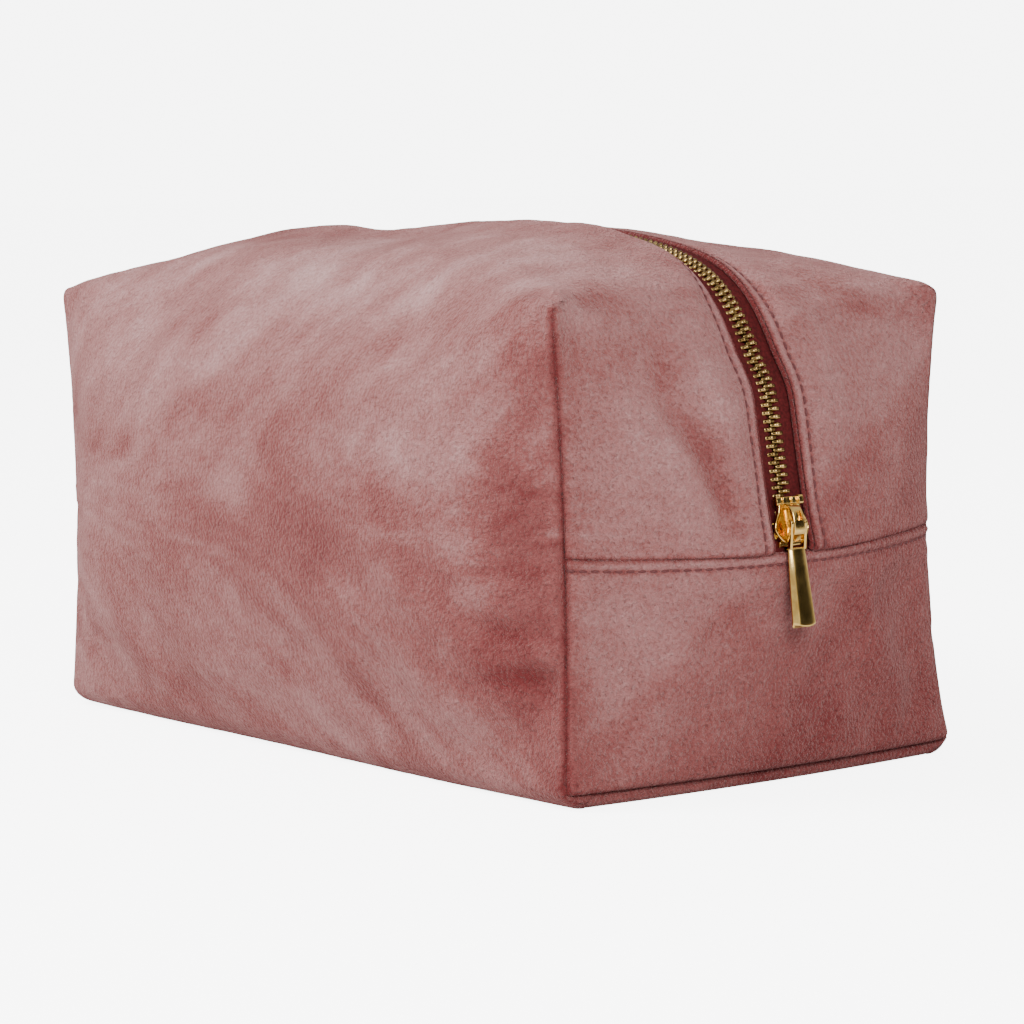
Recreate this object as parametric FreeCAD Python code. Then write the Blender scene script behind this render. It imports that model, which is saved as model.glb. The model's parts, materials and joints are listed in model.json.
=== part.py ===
"""Zipped velvet makeup bag: padded box-shaped pouch, metal zip over the top, slider and puller.

Millimetres. +X runs along the bag towards the end that holds the slider, -Y is the front,
+Z is up, and the origin is the middle of the base, on the surface the bag stands on.

Every fabric layer is a curved panel between two surfaces. Both surfaces start as a plain box
with rounded edges, set in from the outside by the layer's depth, and swell() then bends the
box into the stuffed shape of the bag.
"""
import FreeCAD
import Part
import math
import os

Vector = FreeCAD.Vector

# Seam box: the size of the bag between its corner seams.
LENGTH = 233.0
DEPTH = 127.6
HEIGHT = 123.2
BASE_EDGE_RADIUS = 10.0
TOP_EDGE_RADIUS_END = 5.2
TOP_EDGE_RADIUS_MIDDLE = 23.4

# Stuffed shape: how far each panel stands out of, or is pulled into, the seam box.
END_BULGE = 9.9
SIDE_BULGE = 13.5
CROWN_RISE = 15.2
CROWN_SPREAD = 0.39
CROWN_POWER = 4
SEAM_PULL = 3.2
BULGE_HEIGHT = 60.0
END_BULGE_AT_BASE = 0.32
SIDE_BULGE_AT_BASE = 0.06
END_BULGE_POWER = 2.16
END_ROUNDING = 0.34
END_DROP = 0.3

# Fabric layers, as depths under the outside surface.
VELVET = (0.0, 1.2)
PADDING = (1.3, 3.5)
LINING = (3.6, 4.2)

# Where the panels meet.
SEAM_GAP = 0.2
TIGHTEST_CORNER = 3.0
HALF_CUT = 0.15
END_SEAM_HEIGHT = 58.6
FLAP_HEIGHT = 96.0

# Zip: a straight track up each end, then over the top. s runs up the track from its foot,
# n stands straight out of it, and the zip's own line is n = 0.
ZIP_OPENING = 5.8
TRACK_FOOT_X = 127.1
TRACK_FOOT_Z = 58.6
TRACK_TOP_X = 120.25
TAPE_INNER = 2.95
TAPE_OUTER = 5.55
TAPE_FACE = -1.3
TAPE_THICKNESS = 0.8
TEETH_INNER = 0.55
TEETH_OUTER = 2.85
TEETH_FACE = -0.35
TEETH_THICKNESS = 2.7
TEETH_START = 4.9
STOP_START = 2.9
STOP_LENGTH = 1.8
STOP_FACE = -0.5
STOP_THICKNESS = 2.4

# Slider: two plates joined by a wedge, with a hollow crown that holds the puller.
SLIDER_START = 0.7
SLIDER_LENGTH = 13.2
TOP_PLATE_START = 1.9
TOP_PLATE_FACE = 1.0
TOP_PLATE_THICKNESS = 1.1
BOTTOM_PLATE_FACE = -3.35
BOTTOM_PLATE_THICKNESS = 0.9
BOTTOM_PLATE_LENGTH = 11.0
SLIDER_WIDEST = 5.7
COLLAR_HALF_WIDTH = 4.35
FLANGE_THICKNESS = 0.8
FLANGE_DEPTH = 0.8
FLANGE_LENGTH = 7.0
FLANGE_HALF_WIDTH = 5.25
WEDGE_HALF_WIDTH = 0.35
WEDGE_LENGTH = 3.6
CROWN_HALF_WIDTH = 1.7
CROWN_START = 2.1
CROWN_LENGTH = 8.6
CROWN_WALL = 0.9
CROWN_HEIGHT = 4.0
LOCK_HALF_WIDTH = 0.7
LOCK_THICKNESS = 0.25
LOCK_CLEARANCE = 0.08

# Puller: a cross bar through the crown, two arms round it and a tapered half-round bar.
PIVOT_ALONG = 6.4
PIVOT_OUT = 2.85
PIVOT_RADIUS = 0.75
PULLER_LEAN = 8.0
PULLER_LENGTH = 25.0
PULLER_BAR_START = 5.35
PULLER_WIDTH_TOP = 5.4
PULLER_WIDTH_END = 6.4
PULLER_BACK = 0.8
PULLER_EDGE_TOP = 0.6
PULLER_EDGE_END = 0.9
PULLER_SWELL_TOP = 1.3
PULLER_SWELL_END = 2.0
ARM_INNER = 1.95
PULLER_CLEARANCE = 0.2

# Grid of the curved panels.
COLUMNS = 19
SIDE_ROWS = 33
END_ROWS = 13


def share(step, steps):
    """How far along a row of evenly spaced places this step lies, from 0 to 1."""
    return step / (steps - 1)


def between(low, high, part):
    return low + (high - low) * part


def clamp(value, low, high):
    return max(low, min(high, value))


# ---------------------------------------------------------------- stuffed shape

def swell(x, y, z):
    """Move a point of the plain box to where the stuffed bag has it."""
    along = clamp(x / (LENGTH / 2), -1, 1)
    across = clamp(y / (DEPTH / 2), -1, 1)
    level = clamp(z / HEIGHT, 0, 1)
    above = clamp((z - BULGE_HEIGHT) / (HEIGHT - BULGE_HEIGHT), 0, 1)
    below = clamp((BULGE_HEIGHT - z) / BULGE_HEIGHT, 0, 1)

    end_bulge = 1 - above ** END_BULGE_POWER - (1 - END_BULGE_AT_BASE) * below ** 2
    side_bulge = 1 - above ** 2 - (1 - SIDE_BULGE_AT_BASE) * below ** 2
    pull = SEAM_PULL * 4 * level * (1 - level)
    middle = 1 - across ** 2

    move_x = along ** 3 * (END_BULGE * middle * end_bulge - pull * across ** 2)
    move_y = across ** 3 * (SIDE_BULGE * (1 - along ** 4) * side_bulge - pull * along ** 4)
    ridge = (1 - abs(along) ** CROWN_POWER) * middle
    shoulder = CROWN_SPREAD * (1 - along ** 2) * across ** 2
    rise = CROWN_RISE * level ** 3 * (ridge + shoulder)

    rounding = END_ROUNDING * middle
    pull_back = math.sqrt(1 - rounding * above ** 2 / 2 * abs(along) ** 3)
    drop = math.sqrt(1 - rounding * END_DROP * along ** 8)
    if z > BULGE_HEIGHT:
        z = BULGE_HEIGHT + (z - BULGE_HEIGHT) * drop
    return Vector(x * pull_back + move_x, y + move_y, z + rise)


def box_height_for(place, target):
    """The height in the plain box that swell() takes to the target height.

    place(height) gives the box point (x, y, z) at that height.
    """
    low = 0.0
    high = HEIGHT
    for _ in range(50):
        middle = (low + high) / 2
        if swell(*place(middle)).z < target:
            low = middle
        else:
            high = middle
    return (low + high) / 2


def corner_radius(radius, inset):
    return max(radius - inset, TIGHTEST_CORNER)


def top_radius(x, inset):
    along = clamp(x / (LENGTH / 2), -1, 1)
    radius = between(TOP_EDGE_RADIUS_END, TOP_EDGE_RADIUS_MIDDLE, 1 - along ** 2)
    return corner_radius(radius, inset)


def half_width(z, inset):
    """Half the width of an end panel at a height of the plain box."""
    lower = corner_radius(BASE_EDGE_RADIUS, inset)
    upper = corner_radius(TOP_EDGE_RADIUS_END, inset)
    width = DEPTH / 2 - inset
    foot = z - inset
    head = HEIGHT - inset - z
    if foot < lower:
        return width - lower + math.sqrt(max(lower ** 2 - (lower - foot) ** 2, 0))
    if head < upper:
        return width - upper + math.sqrt(max(upper ** 2 - (upper - head) ** 2, 0))
    return width


# ---------------------------------------------------------------- curved panels

def skin(points):
    surface = Part.BSplineSurface()
    surface.interpolate(points)
    return surface


def borders(surface):
    u_low, u_high, v_low, v_high = surface.bounds()
    return [surface.uIso(u_low), surface.uIso(u_high), surface.vIso(v_low), surface.vIso(v_high)]


def panel(grid, layer):
    """One closed solid of fabric. grid(inset) gives the rows of points of one surface."""
    outside = skin(grid(layer[0]))
    inside = skin(grid(layer[1]))
    faces = [outside.toShape(), inside.toShape()]
    for edge_out, edge_in in zip(borders(outside), borders(inside)):
        faces.append(Part.makeRuledSurface(edge_out.toShape(), edge_in.toShape()))
    shell = Part.makeShell(faces)
    shell.sewShape()
    if shell.ShapeType != "Shell":
        shell = shell.Shells[0]
    solid = Part.makeSolid(shell)
    if solid.Volume < 0:
        solid.reverse()
    return solid


def column_x(step, inset):
    return (LENGTH / 2 - inset - SEAM_GAP) * between(-1, 1, share(step, COLUMNS))


def side_wall_grid(side):
    """Front or back wall, from the middle of the base edge up to the flap's fold."""
    def grid(inset):
        radius = corner_radius(BASE_EDGE_RADIUS, inset)
        wall_y = DEPTH / 2 - inset
        arc = radius * math.pi / 2

        def point(x, part):
            top = box_height_for(lambda z: (x, wall_y, z), FLAP_HEIGHT - HALF_CUT)
            run = part * (arc + top - inset - radius)
            if run < arc:
                turn = run / radius
                y = wall_y - radius * (1 - math.sin(turn))
                return swell(x, side * y, inset + radius * (1 - math.cos(turn)))
            return swell(x, side * wall_y, inset + radius + run - arc)

        return [[point(column_x(column, inset), share(row, SIDE_ROWS))
                 for column in range(COLUMNS)] for row in range(SIDE_ROWS)]
    return grid


def side_flap_grid(side):
    """Upper front or back: from the fold, over the rounded edge, to the edge by the zip."""
    def grid(inset):
        wall_y = DEPTH / 2 - inset
        top_z = HEIGHT - inset

        def point(x, part):
            radius = top_radius(x, inset)
            foot = box_height_for(lambda z: (x, wall_y, z), FLAP_HEIGHT + HALF_CUT)
            wall = top_z - radius - foot
            arc = radius * math.pi / 2
            run = part * (wall + arc + wall_y - radius - ZIP_OPENING)
            if run < wall:
                return swell(x, side * wall_y, foot + run)
            if run < wall + arc:
                turn = (run - wall) / radius
                y = wall_y - radius * (1 - math.cos(turn))
                return swell(x, side * y, top_z - radius * (1 - math.sin(turn)))
            return swell(x, side * (wall_y - radius - (run - wall - arc)), top_z)

        return [[point(column_x(column, inset), share(row, SIDE_ROWS))
                 for column in range(COLUMNS)] for row in range(SIDE_ROWS)]
    return grid


def end_grid(end, inner_y, outer_side, low, high):
    """Part of an end panel, between two finished heights.

    It runs from inner_y to the corner seam on outer_side, or from seam to seam where inner_y
    is None. A height of None is the panel's own lowest or highest edge.
    """
    def grid(inset):
        x = end * (LENGTH / 2 - inset)

        def point(across, up):
            def place(z):
                reach = half_width(z, inset) - SEAM_GAP
                if inner_y is None:
                    return x, reach * between(-1, 1, across), z
                return x, outer_side * between(inner_y, reach, across), z

            foot = inset if low is None else box_height_for(place, low)
            head = HEIGHT - inset - SEAM_GAP if high is None else box_height_for(place, high)
            return swell(*place(between(foot, head, up)))

        return [[point(share(column, COLUMNS), share(row, END_ROWS))
                 for column in range(COLUMNS)] for row in range(END_ROWS)]
    return grid


def base_panel(layer):
    """Flat bottom panel of one layer, cut to fit between the walls and the ends."""
    bottom = layer[0]
    edge_x = LENGTH / 2 - layer[1] - SEAM_GAP
    edge_y = DEPTH / 2 - BASE_EDGE_RADIUS - SEAM_GAP
    steps = [between(-1, 1, share(step, 9)) for step in range(9)]
    curves = []
    for side in (-1, 1):
        line = [swell(edge_x * part, side * edge_y, bottom) for part in steps]
        curves.append(line)
    for end in (-1, 1):
        line = [swell(end * edge_x, edge_y * part, bottom) for part in steps]
        curves.append(line)
    edges = []
    for points in curves:
        flat = [Vector(point.x, point.y, bottom) for point in points]
        curve = Part.BSplineCurve()
        curve.interpolate(flat)
        edges.append(curve.toShape())
    outline = Part.Wire(Part.__sortEdges__(edges))
    return Part.Face(outline).extrude(Vector(0, 0, layer[1] - layer[0]))


def cut_zip_slit(solid, end):
    """Open an end layer from the end seam upwards, where the zip runs."""
    slit = Part.makeBox(40, 2 * ZIP_OPENING, HEIGHT)
    slit.translate(Vector(end * LENGTH / 2 - 20, -ZIP_OPENING, END_SEAM_HEIGHT - 2))
    return solid.cut(slit).Solids[0]


# ---------------------------------------------------------------- zip

TRACK_RISE = FLAP_HEIGHT - TRACK_FOOT_Z
TRACK_LEAN = math.atan((TRACK_FOOT_X - TRACK_TOP_X) / TRACK_RISE)


def track_point(along, out, y=0.0):
    """Place on the slider's track: along it, out of it, and across the zip."""
    x = TRACK_FOOT_X - along * math.sin(TRACK_LEAN) + out * math.cos(TRACK_LEAN)
    z = TRACK_FOOT_Z + along * math.cos(TRACK_LEAN) + out * math.sin(TRACK_LEAN)
    return Vector(x, y, z)


def mirrored(shape):
    """The same shape at the other end of the bag."""
    return shape.mirror(Vector(0, 0, 0), Vector(1, 0, 0))


def at_end(shape, end):
    return shape if end > 0 else mirrored(shape)


def block(along, out, across):
    """A bar on the track; each argument is a pair of low and high."""
    corners = [
        track_point(along[0], out[0], across[0]),
        track_point(along[1], out[0], across[0]),
        track_point(along[1], out[1], across[0]),
        track_point(along[0], out[1], across[0]),
    ]
    face = Part.Face(Part.makePolygon(corners + corners[:1]))
    return face.extrude(Vector(0, across[1] - across[0], 0))


def track_strip(side, inner, outer, face, thickness, start):
    """Straight strip of the zip on the slider's track, cut level under the flap's fold."""
    strip = block((start, TRACK_RISE + 6), (face - thickness, face), (inner, outer))
    if side < 0:
        strip = strip.mirror(Vector(0, 0, 0), Vector(0, 1, 0))
    lid = Part.makeBox(60, 30, 30)
    lid.translate(Vector(TRACK_TOP_X - 30, -15, FLAP_HEIGHT - HALF_CUT))
    return strip.cut(lid).Solids[0]


def zip_line(out):
    """Points of the zip's line over the top, from one flap fold to the other, at n = out."""
    right = []
    start = track_point(TRACK_RISE / math.cos(TRACK_LEAN), 0)
    right.append((start.x, start.z))
    for height in (104.0, 112.0):
        point = swell(LENGTH / 2, 0, box_height_for(lambda z: (LENGTH / 2, 0, z), height))
        right.append((point.x - 0.5, point.z))
    for along in (0.97, 0.88, 0.72, 0.5, 0.25):
        point = swell(along * LENGTH / 2, 0, HEIGHT)
        right.append((point.x, point.z))
    line = right + [(0.0, HEIGHT + CROWN_RISE)] + [(-x, z) for x, z in reversed(right)]
    curve = Part.BSplineCurve()
    curve.interpolate([Vector(x, 0, z) for x, z in line])
    points = []
    steps = 41
    for step in range(steps):
        place = between(curve.FirstParameter, curve.LastParameter, share(step, steps))
        tangent = curve.tangent(place)[0]
        normal = Vector(tangent.z, 0, -tangent.x)
        if normal.z < 0:
            normal = -normal
        points.append(curve.value(place) + normal * out)
    return points


def top_strip(side, inner, outer, face, thickness):
    """Strip of the zip over the top of the bag, cut level at both flap folds."""
    upper = Part.BSplineCurve()
    upper.interpolate(zip_line(face))
    lower = Part.BSplineCurve()
    lower.interpolate(zip_line(face - thickness))
    first = Part.makeLine(upper.StartPoint, lower.StartPoint)
    last = Part.makeLine(upper.EndPoint, lower.EndPoint)
    edges = [upper.toShape(), last, lower.toShape(), first]
    outline = Part.Face(Part.Wire(Part.__sortEdges__(edges)))
    outline.translate(Vector(0, side * inner, 0))
    strip = outline.extrude(Vector(0, side * (outer - inner), 0))
    floor = Part.makeBox(300, 40, FLAP_HEIGHT + HALF_CUT)
    floor.translate(Vector(-150, -20, 0))
    return strip.cut(floor).Solids[0]


def top_stop(side):
    stop = block((STOP_START, STOP_START + STOP_LENGTH), (STOP_FACE - STOP_THICKNESS, STOP_FACE),
                 (TEETH_INNER, TEETH_OUTER))
    return stop if side > 0 else stop.mirror(Vector(0, 0, 0), Vector(0, 1, 0))


def bottom_stop():
    """The staple that ties both rows together at the end away from the slider."""
    stop = block((STOP_START, STOP_START + STOP_LENGTH), (STOP_FACE - STOP_THICKNESS, STOP_FACE),
                 (-TEETH_OUTER, TEETH_OUTER))
    return mirrored(stop)


# ---------------------------------------------------------------- slider and puller

def plate_half_width(along):
    """Outline of the slider's top plate: a shield that ends in a collar."""
    knots = [(1.9, 3.9), (3.3, 5.0), (5.6, SLIDER_WIDEST), (8.3, 5.0), (11.2, 4.0)]
    for (low, first), (high, second) in zip(knots, knots[1:]):
        if along <= high:
            part = (along - low) / (high - low)
            return between(first, second, part)
    return COLLAR_HALF_WIDTH


def plate(start, end, low, high, width_at):
    """Plate on the track whose half width follows width_at(along)."""
    steps = [start, 3.3, 5.6, 8.3, end]
    right = [track_point(SLIDER_START + along, low, width_at(along)) for along in steps]
    left = [Vector(point.x, -point.y, point.z) for point in reversed(right)]
    curve_right = Part.BSplineCurve()
    curve_right.interpolate(right)
    curve_left = Part.BSplineCurve()
    curve_left.interpolate(left)
    edges = [
        curve_right.toShape(),
        Part.makeLine(right[-1], left[0]),
        curve_left.toShape(),
        Part.makeLine(left[-1], right[0]),
    ]
    outwards = track_point(0, 1) - track_point(0, 0)
    return Part.Face(Part.Wire(edges)).extrude(outwards * (high - low))


def slider_block(along, out, across):
    return block((SLIDER_START + along[0], SLIDER_START + along[1]), out, across)


def slider_body():
    top_low = TOP_PLATE_FACE - TOP_PLATE_THICKNESS
    body = plate(TOP_PLATE_START, 11.2, top_low, TOP_PLATE_FACE, plate_half_width)
    collar = slider_block((11.1, SLIDER_LENGTH), (top_low, TOP_PLATE_FACE + 0.3),
                          (-COLLAR_HALF_WIDTH, COLLAR_HALF_WIDTH))
    bottom_low = BOTTOM_PLATE_FACE - BOTTOM_PLATE_THICKNESS

    def bottom_width(along):
        return min(plate_half_width(max(along, 3.3)), FLANGE_HALF_WIDTH)

    bottom = plate(0.0, BOTTOM_PLATE_LENGTH, bottom_low, BOTTOM_PLATE_FACE, bottom_width)
    wedge = slider_block((0.4, WEDGE_LENGTH), (BOTTOM_PLATE_FACE - 0.1, top_low + 0.1),
                         (-WEDGE_HALF_WIDTH, WEDGE_HALF_WIDTH))
    front = slider_block((TOP_PLATE_START + 0.2, WEDGE_LENGTH), (top_low - 0.05, top_low + 0.3),
                         (-WEDGE_HALF_WIDTH, WEDGE_HALF_WIDTH))
    pieces = [collar, bottom, wedge, front]
    for side in (-1, 1):
        outer = side * (FLANGE_HALF_WIDTH - 0.35)
        inner = outer - side * FLANGE_THICKNESS
        across = (min(inner, outer), max(inner, outer))
        pieces.append(slider_block((3.4, 3.4 + FLANGE_LENGTH * 0.7),
                                   (top_low - FLANGE_DEPTH, top_low + 0.1), across))
        pieces.append(slider_block((1.0, 1.0 + FLANGE_LENGTH),
                                   (BOTTOM_PLATE_FACE - 0.1, BOTTOM_PLATE_FACE + FLANGE_DEPTH),
                                   across))
    return body.multiFuse(pieces).removeSplitter().Solids[0]


def slider_crown():
    """Hollow arch on the top plate that the puller's cross bar runs through."""
    top = TOP_PLATE_FACE + 0.02
    end = CROWN_START + CROWN_LENGTH
    arch = slider_block((CROWN_START, end), (top, top + CROWN_HEIGHT),
                        (-CROWN_HALF_WIDTH, CROWN_HALF_WIDTH))
    lengthwise = [edge for edge in arch.Edges if is_upper_cross_edge(edge, top)]
    arch = arch.makeFillet(1.6, lengthwise)
    window = slider_block((CROWN_START + 1.3, end - 1.3), (top - 1, top + CROWN_HEIGHT - CROWN_WALL),
                          (-CROWN_HALF_WIDTH - 1, CROWN_HALF_WIDTH + 1))
    return arch.cut(window).Solids[0]


def is_upper_cross_edge(edge, top):
    """True for the two edges across the top of the crown's block."""
    direction = edge.tangentAt(edge.FirstParameter)
    outwards = track_point(0, 1) - track_point(0, 0)
    height = (edge.CenterOfMass - track_point(0, 0)).dot(outwards)
    return abs(direction.y) > 0.9 and height > top + CROWN_HEIGHT / 2


def slider_lock():
    """Flat spring under the crown's roof that holds the slider where it is left."""
    roof = TOP_PLATE_FACE + 0.02 + CROWN_HEIGHT - CROWN_WALL
    return slider_block((CROWN_START + 1.4, CROWN_START + CROWN_LENGTH - 1.4),
                        (roof - LOCK_CLEARANCE - LOCK_THICKNESS, roof - LOCK_CLEARANCE),
                        (-LOCK_HALF_WIDTH, LOCK_HALF_WIDTH))


def puller_section(distance, width, edge, swell_out):
    """Half-round outline of the puller at a distance down from the pivot, before it leans."""
    half = width / 2
    corners = [
        Vector(-PULLER_BACK, -half, -distance),
        Vector(-PULLER_BACK, half, -distance),
        Vector(-PULLER_BACK + edge, half, -distance),
    ]
    crest = Vector(-PULLER_BACK + edge + swell_out, 0, -distance)
    last = Vector(-PULLER_BACK + edge, -half, -distance)
    front = Part.Arc(corners[2], crest, last).toShape()
    edges = [
        Part.makeLine(corners[0], corners[1]),
        Part.makeLine(corners[1], corners[2]),
        front,
        Part.makeLine(last, corners[0]),
    ]
    return Part.Wire(edges)


def puller():
    start = puller_section(PULLER_BAR_START, PULLER_WIDTH_TOP, PULLER_EDGE_TOP, PULLER_SWELL_TOP)
    end = puller_section(PULLER_LENGTH, PULLER_WIDTH_END, PULLER_EDGE_END, PULLER_SWELL_END)
    bar = Part.makeLoft([start, end], True, True)
    pieces = []
    outer = PULLER_WIDTH_TOP / 2
    for side in (-1, 1):
        arm = Part.makeBox(2 * PIVOT_RADIUS, outer - ARM_INNER, PULLER_BAR_START + 0.4)
        arm.translate(Vector(-PIVOT_RADIUS, 0, -PULLER_BAR_START - 0.4))
        arm.translate(Vector(0, ARM_INNER if side > 0 else -outer, 0))
        knuckle = Part.makeCylinder(PIVOT_RADIUS + 0.15, outer - ARM_INNER,
                                    Vector(0, ARM_INNER if side > 0 else -outer, 0),
                                    Vector(0, 1, 0))
        pieces.append(arm)
        pieces.append(knuckle)
    pieces.append(Part.makeCylinder(PIVOT_RADIUS, 2 * outer, Vector(0, -outer, 0), Vector(0, 1, 0)))
    solid = bar.multiFuse(pieces).Solids[0]
    solid.rotate(Vector(0, 0, 0), Vector(0, 1, 0), -PULLER_LEAN)
    solid.translate(track_point(SLIDER_START + PIVOT_ALONG - PULLER_CLEARANCE, PIVOT_OUT))
    return solid


# ---------------------------------------------------------------- write every node

def write(name, *solids):
    shape = solids[0] if len(solids) == 1 else Part.makeCompound(list(solids))
    for solid in shape.Solids:
        if not solid.isValid() or solid.Volume <= 0:
            print("BAD SOLID", name, solid.Volume)
    box = shape.BoundBox
    print("%-28s %9.1f mm3  x %7.2f %7.2f  y %7.2f %7.2f  z %6.2f %6.2f" % (
        name, shape.Volume, box.XMin, box.XMax, box.YMin, box.YMax, box.ZMin, box.ZMax))
    shape.exportStep(os.path.join("parts", name + ".step"))


os.makedirs("parts", exist_ok=True)

ENDS = (("right", 1), ("left", -1))
SIDES = (("front", -1), ("back", 1))
BELOW_FLAP = FLAP_HEIGHT - HALF_CUT
ABOVE_FLAP = FLAP_HEIGHT + HALF_CUT

for layer_name, layer in (("velvet", VELVET), ("padding", PADDING), ("lining", LINING)):
    write(layer_name + "_base", base_panel(layer))
    for side_name, side in SIDES:
        write(layer_name + "_" + side_name, panel(side_wall_grid(side), layer))

for end_name, end in ENDS:
    below_seam = end_grid(end, None, 0, None, END_SEAM_HEIGHT - HALF_CUT)
    write("velvet_end_" + end_name, panel(below_seam, VELVET))
    for layer_name, layer in (("padding", PADDING), ("lining", LINING)):
        whole = panel(end_grid(end, None, 0, None, BELOW_FLAP), layer)
        write(layer_name + "_end_" + end_name, cut_zip_slit(whole, end))
    for side_name, side in SIDES:
        gusset = end_grid(end, ZIP_OPENING, side, END_SEAM_HEIGHT + HALF_CUT, BELOW_FLAP)
        write("velvet_gusset_" + end_name + "_" + side_name, panel(gusset, VELVET))
        tape = track_strip(side, TAPE_INNER, TAPE_OUTER, TAPE_FACE, TAPE_THICKNESS, 0.4)
        teeth = track_strip(side, TEETH_INNER, TEETH_OUTER, TEETH_FACE, TEETH_THICKNESS,
                            TEETH_START)
        write("zip_tape_" + end_name + "_" + side_name, at_end(tape, end))
        write("zip_teeth_" + end_name + "_" + side_name, at_end(teeth, end))

for side_name, side in SIDES:
    for layer_name, layer in (("velvet", VELVET), ("padding", PADDING), ("lining", LINING)):
        top = panel(side_flap_grid(side), layer)
        ends = [panel(end_grid(end, ZIP_OPENING, side, ABOVE_FLAP, None), layer)
                for _, end in ENDS]
        if layer_name == "velvet":
            write("velvet_flap_" + side_name, top)
            for (end_name, _), piece in zip(ENDS, ends):
                write("velvet_flap_" + side_name + "_end_" + end_name, piece)
        else:
            write(layer_name + "_flap_" + side_name, top, *ends)
    write("zip_tape_top_" + side_name,
          top_strip(side, TAPE_INNER, TAPE_OUTER, TAPE_FACE, TAPE_THICKNESS))
    write("zip_teeth_top_" + side_name,
          top_strip(side, TEETH_INNER, TEETH_OUTER, TEETH_FACE, TEETH_THICKNESS))

write("zip_top_stops", top_stop(1), top_stop(-1))
write("zip_bottom_stop", bottom_stop())
write("slider_body", slider_body())
write("slider_crown", slider_crown())
write("slider_lock", slider_lock())
write("puller", puller())

pivot = track_point(SLIDER_START + PIVOT_ALONG - PULLER_CLEARANCE, PIVOT_OUT)
print("puller pivot", pivot)
print("track direction", track_point(1, 0) - track_point(0, 0))
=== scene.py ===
"""Looks of the zipped velvet makeup bag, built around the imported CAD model.

Shapes are worked out in millimetres in the CAD model's own frame (+X towards the slider's end,
-Y the front, +Z up) and become metres when a mesh is made.
"""
import json
import math

import bmesh
import bpy
import numpy as np
from mathutils import Matrix, Vector, noise
from mathutils.kdtree import KDTree


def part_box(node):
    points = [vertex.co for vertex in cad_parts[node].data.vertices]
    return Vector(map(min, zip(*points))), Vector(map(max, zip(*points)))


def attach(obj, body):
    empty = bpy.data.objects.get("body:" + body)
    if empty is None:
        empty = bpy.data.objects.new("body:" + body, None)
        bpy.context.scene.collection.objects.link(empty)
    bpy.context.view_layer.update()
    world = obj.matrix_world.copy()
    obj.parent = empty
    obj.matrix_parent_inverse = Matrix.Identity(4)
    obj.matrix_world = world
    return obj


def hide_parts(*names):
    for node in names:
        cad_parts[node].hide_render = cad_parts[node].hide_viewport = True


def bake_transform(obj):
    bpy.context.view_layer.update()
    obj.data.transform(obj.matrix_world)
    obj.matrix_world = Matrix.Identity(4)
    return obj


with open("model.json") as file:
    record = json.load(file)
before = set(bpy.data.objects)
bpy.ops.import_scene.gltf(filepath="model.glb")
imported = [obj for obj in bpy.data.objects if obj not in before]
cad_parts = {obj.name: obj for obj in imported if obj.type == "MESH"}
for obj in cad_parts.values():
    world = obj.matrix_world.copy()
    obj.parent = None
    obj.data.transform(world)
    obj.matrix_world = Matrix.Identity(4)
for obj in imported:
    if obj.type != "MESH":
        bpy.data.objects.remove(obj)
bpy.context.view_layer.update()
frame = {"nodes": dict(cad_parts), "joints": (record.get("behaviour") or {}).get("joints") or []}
MM = 0.001
FAR = 1e3


def joint(name):
    return next(j for j in frame["joints"] if j["name"] == name)


def box_mm(node):
    low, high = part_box(node)
    return np.array(low) / MM, np.array(high) / MM


# ---- sizes
HALF_CUT = 0.15
FLAP_Z = joint("front_flap_open")["pos_m"][2] / MM
END_SEAM_Z = box_mm("velvet_end_right")[1][2] + HALF_CUT
ZIP_OPENING = box_mm("velvet_flap_back_end_right")[0][1]
TRACK_UP = np.array(joint("slider_travel")["axis"])
TRACK_OUT = np.array([TRACK_UP[2], 0.0, -TRACK_UP[0]])
TRACK_FOOT = np.array([127.1, 0.0, 58.6])
PIVOT = np.array(joint("puller_swing")["pos_m"]) / MM

# Seam box and stuffed shape: the CAD model's, with a tighter base edge, leaning corners and
# hollows in the crown.
LENGTH = 233.0
DEPTH = 127.6
HEIGHT = 123.2
BASE_RADIUS = 6.5
TOP_RADIUS_END = 5.2
TOP_RADIUS_MIDDLE = 23.4
END_BULGE = 9.9
SIDE_BULGE = 13.5
CROWN_RISE = 15.2
CROWN_SPREAD = 0.39
# Shallow hollows across the crown: place, the way they run, half width, half length, depth.
CROWN_DIPS = [
    ((-37.0, 0.0), math.radians(142.8), 17.0, 60.0, 3.2),
    ((60.0, 30.0), math.radians(142.8), 19.0, 40.0, 2.3),
]
BULGE_HEIGHT = 60.0
END_BULGE_AT_BASE = 0.32
SIDE_BULGE_AT_BASE = 0.06
END_BULGE_POWER = 2.16
END_ROUNDING = 0.34
END_DROP = 0.3

# The corner seams are pulled in further at the slider's end than at the other.
SEAM_PULL_RIGHT = 4.6
SEAM_PULL_LEFT = 2.4
CORNER_LEAN = 3.4
SEAM_SAG = 1.8
LIP_RISE = 1.25
SIDE_PUFF = 1.7
END_PUFF = 0.5
EDGE_DIP = 1.7
BASE_SEAM_Z = 4.0
HEM_LIP = 1.2
END_TOP_VALLEY = 0.65
END_FOOT_PUFF = 1.5
VALLEY_DEPTH = 0.6
FOLDED_EDGE_RISE = 0.2

# Velvet edge beside the zip: a folded edge, then a valley of topstitching.
EDGE_ROLL = 0.75
EDGE_Y = ZIP_OPENING + EDGE_ROLL
STITCH_OFFSET = 2.9
STITCH_PITCH = 3.0
STITCH_LENGTH = 2.3
THREAD_RADIUS = 0.34
THREAD_SIDES = 7
# How far the two rows of a corner seam's allowance turn in.
SEAM_TUCK = (0.8, 2.6)

TAPE_FACE = -1.5
TAPE_THICKNESS = 0.6
TOOTH_PITCH = 2.06
TEETH_START = 4.9


# ---- small helpers

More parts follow.
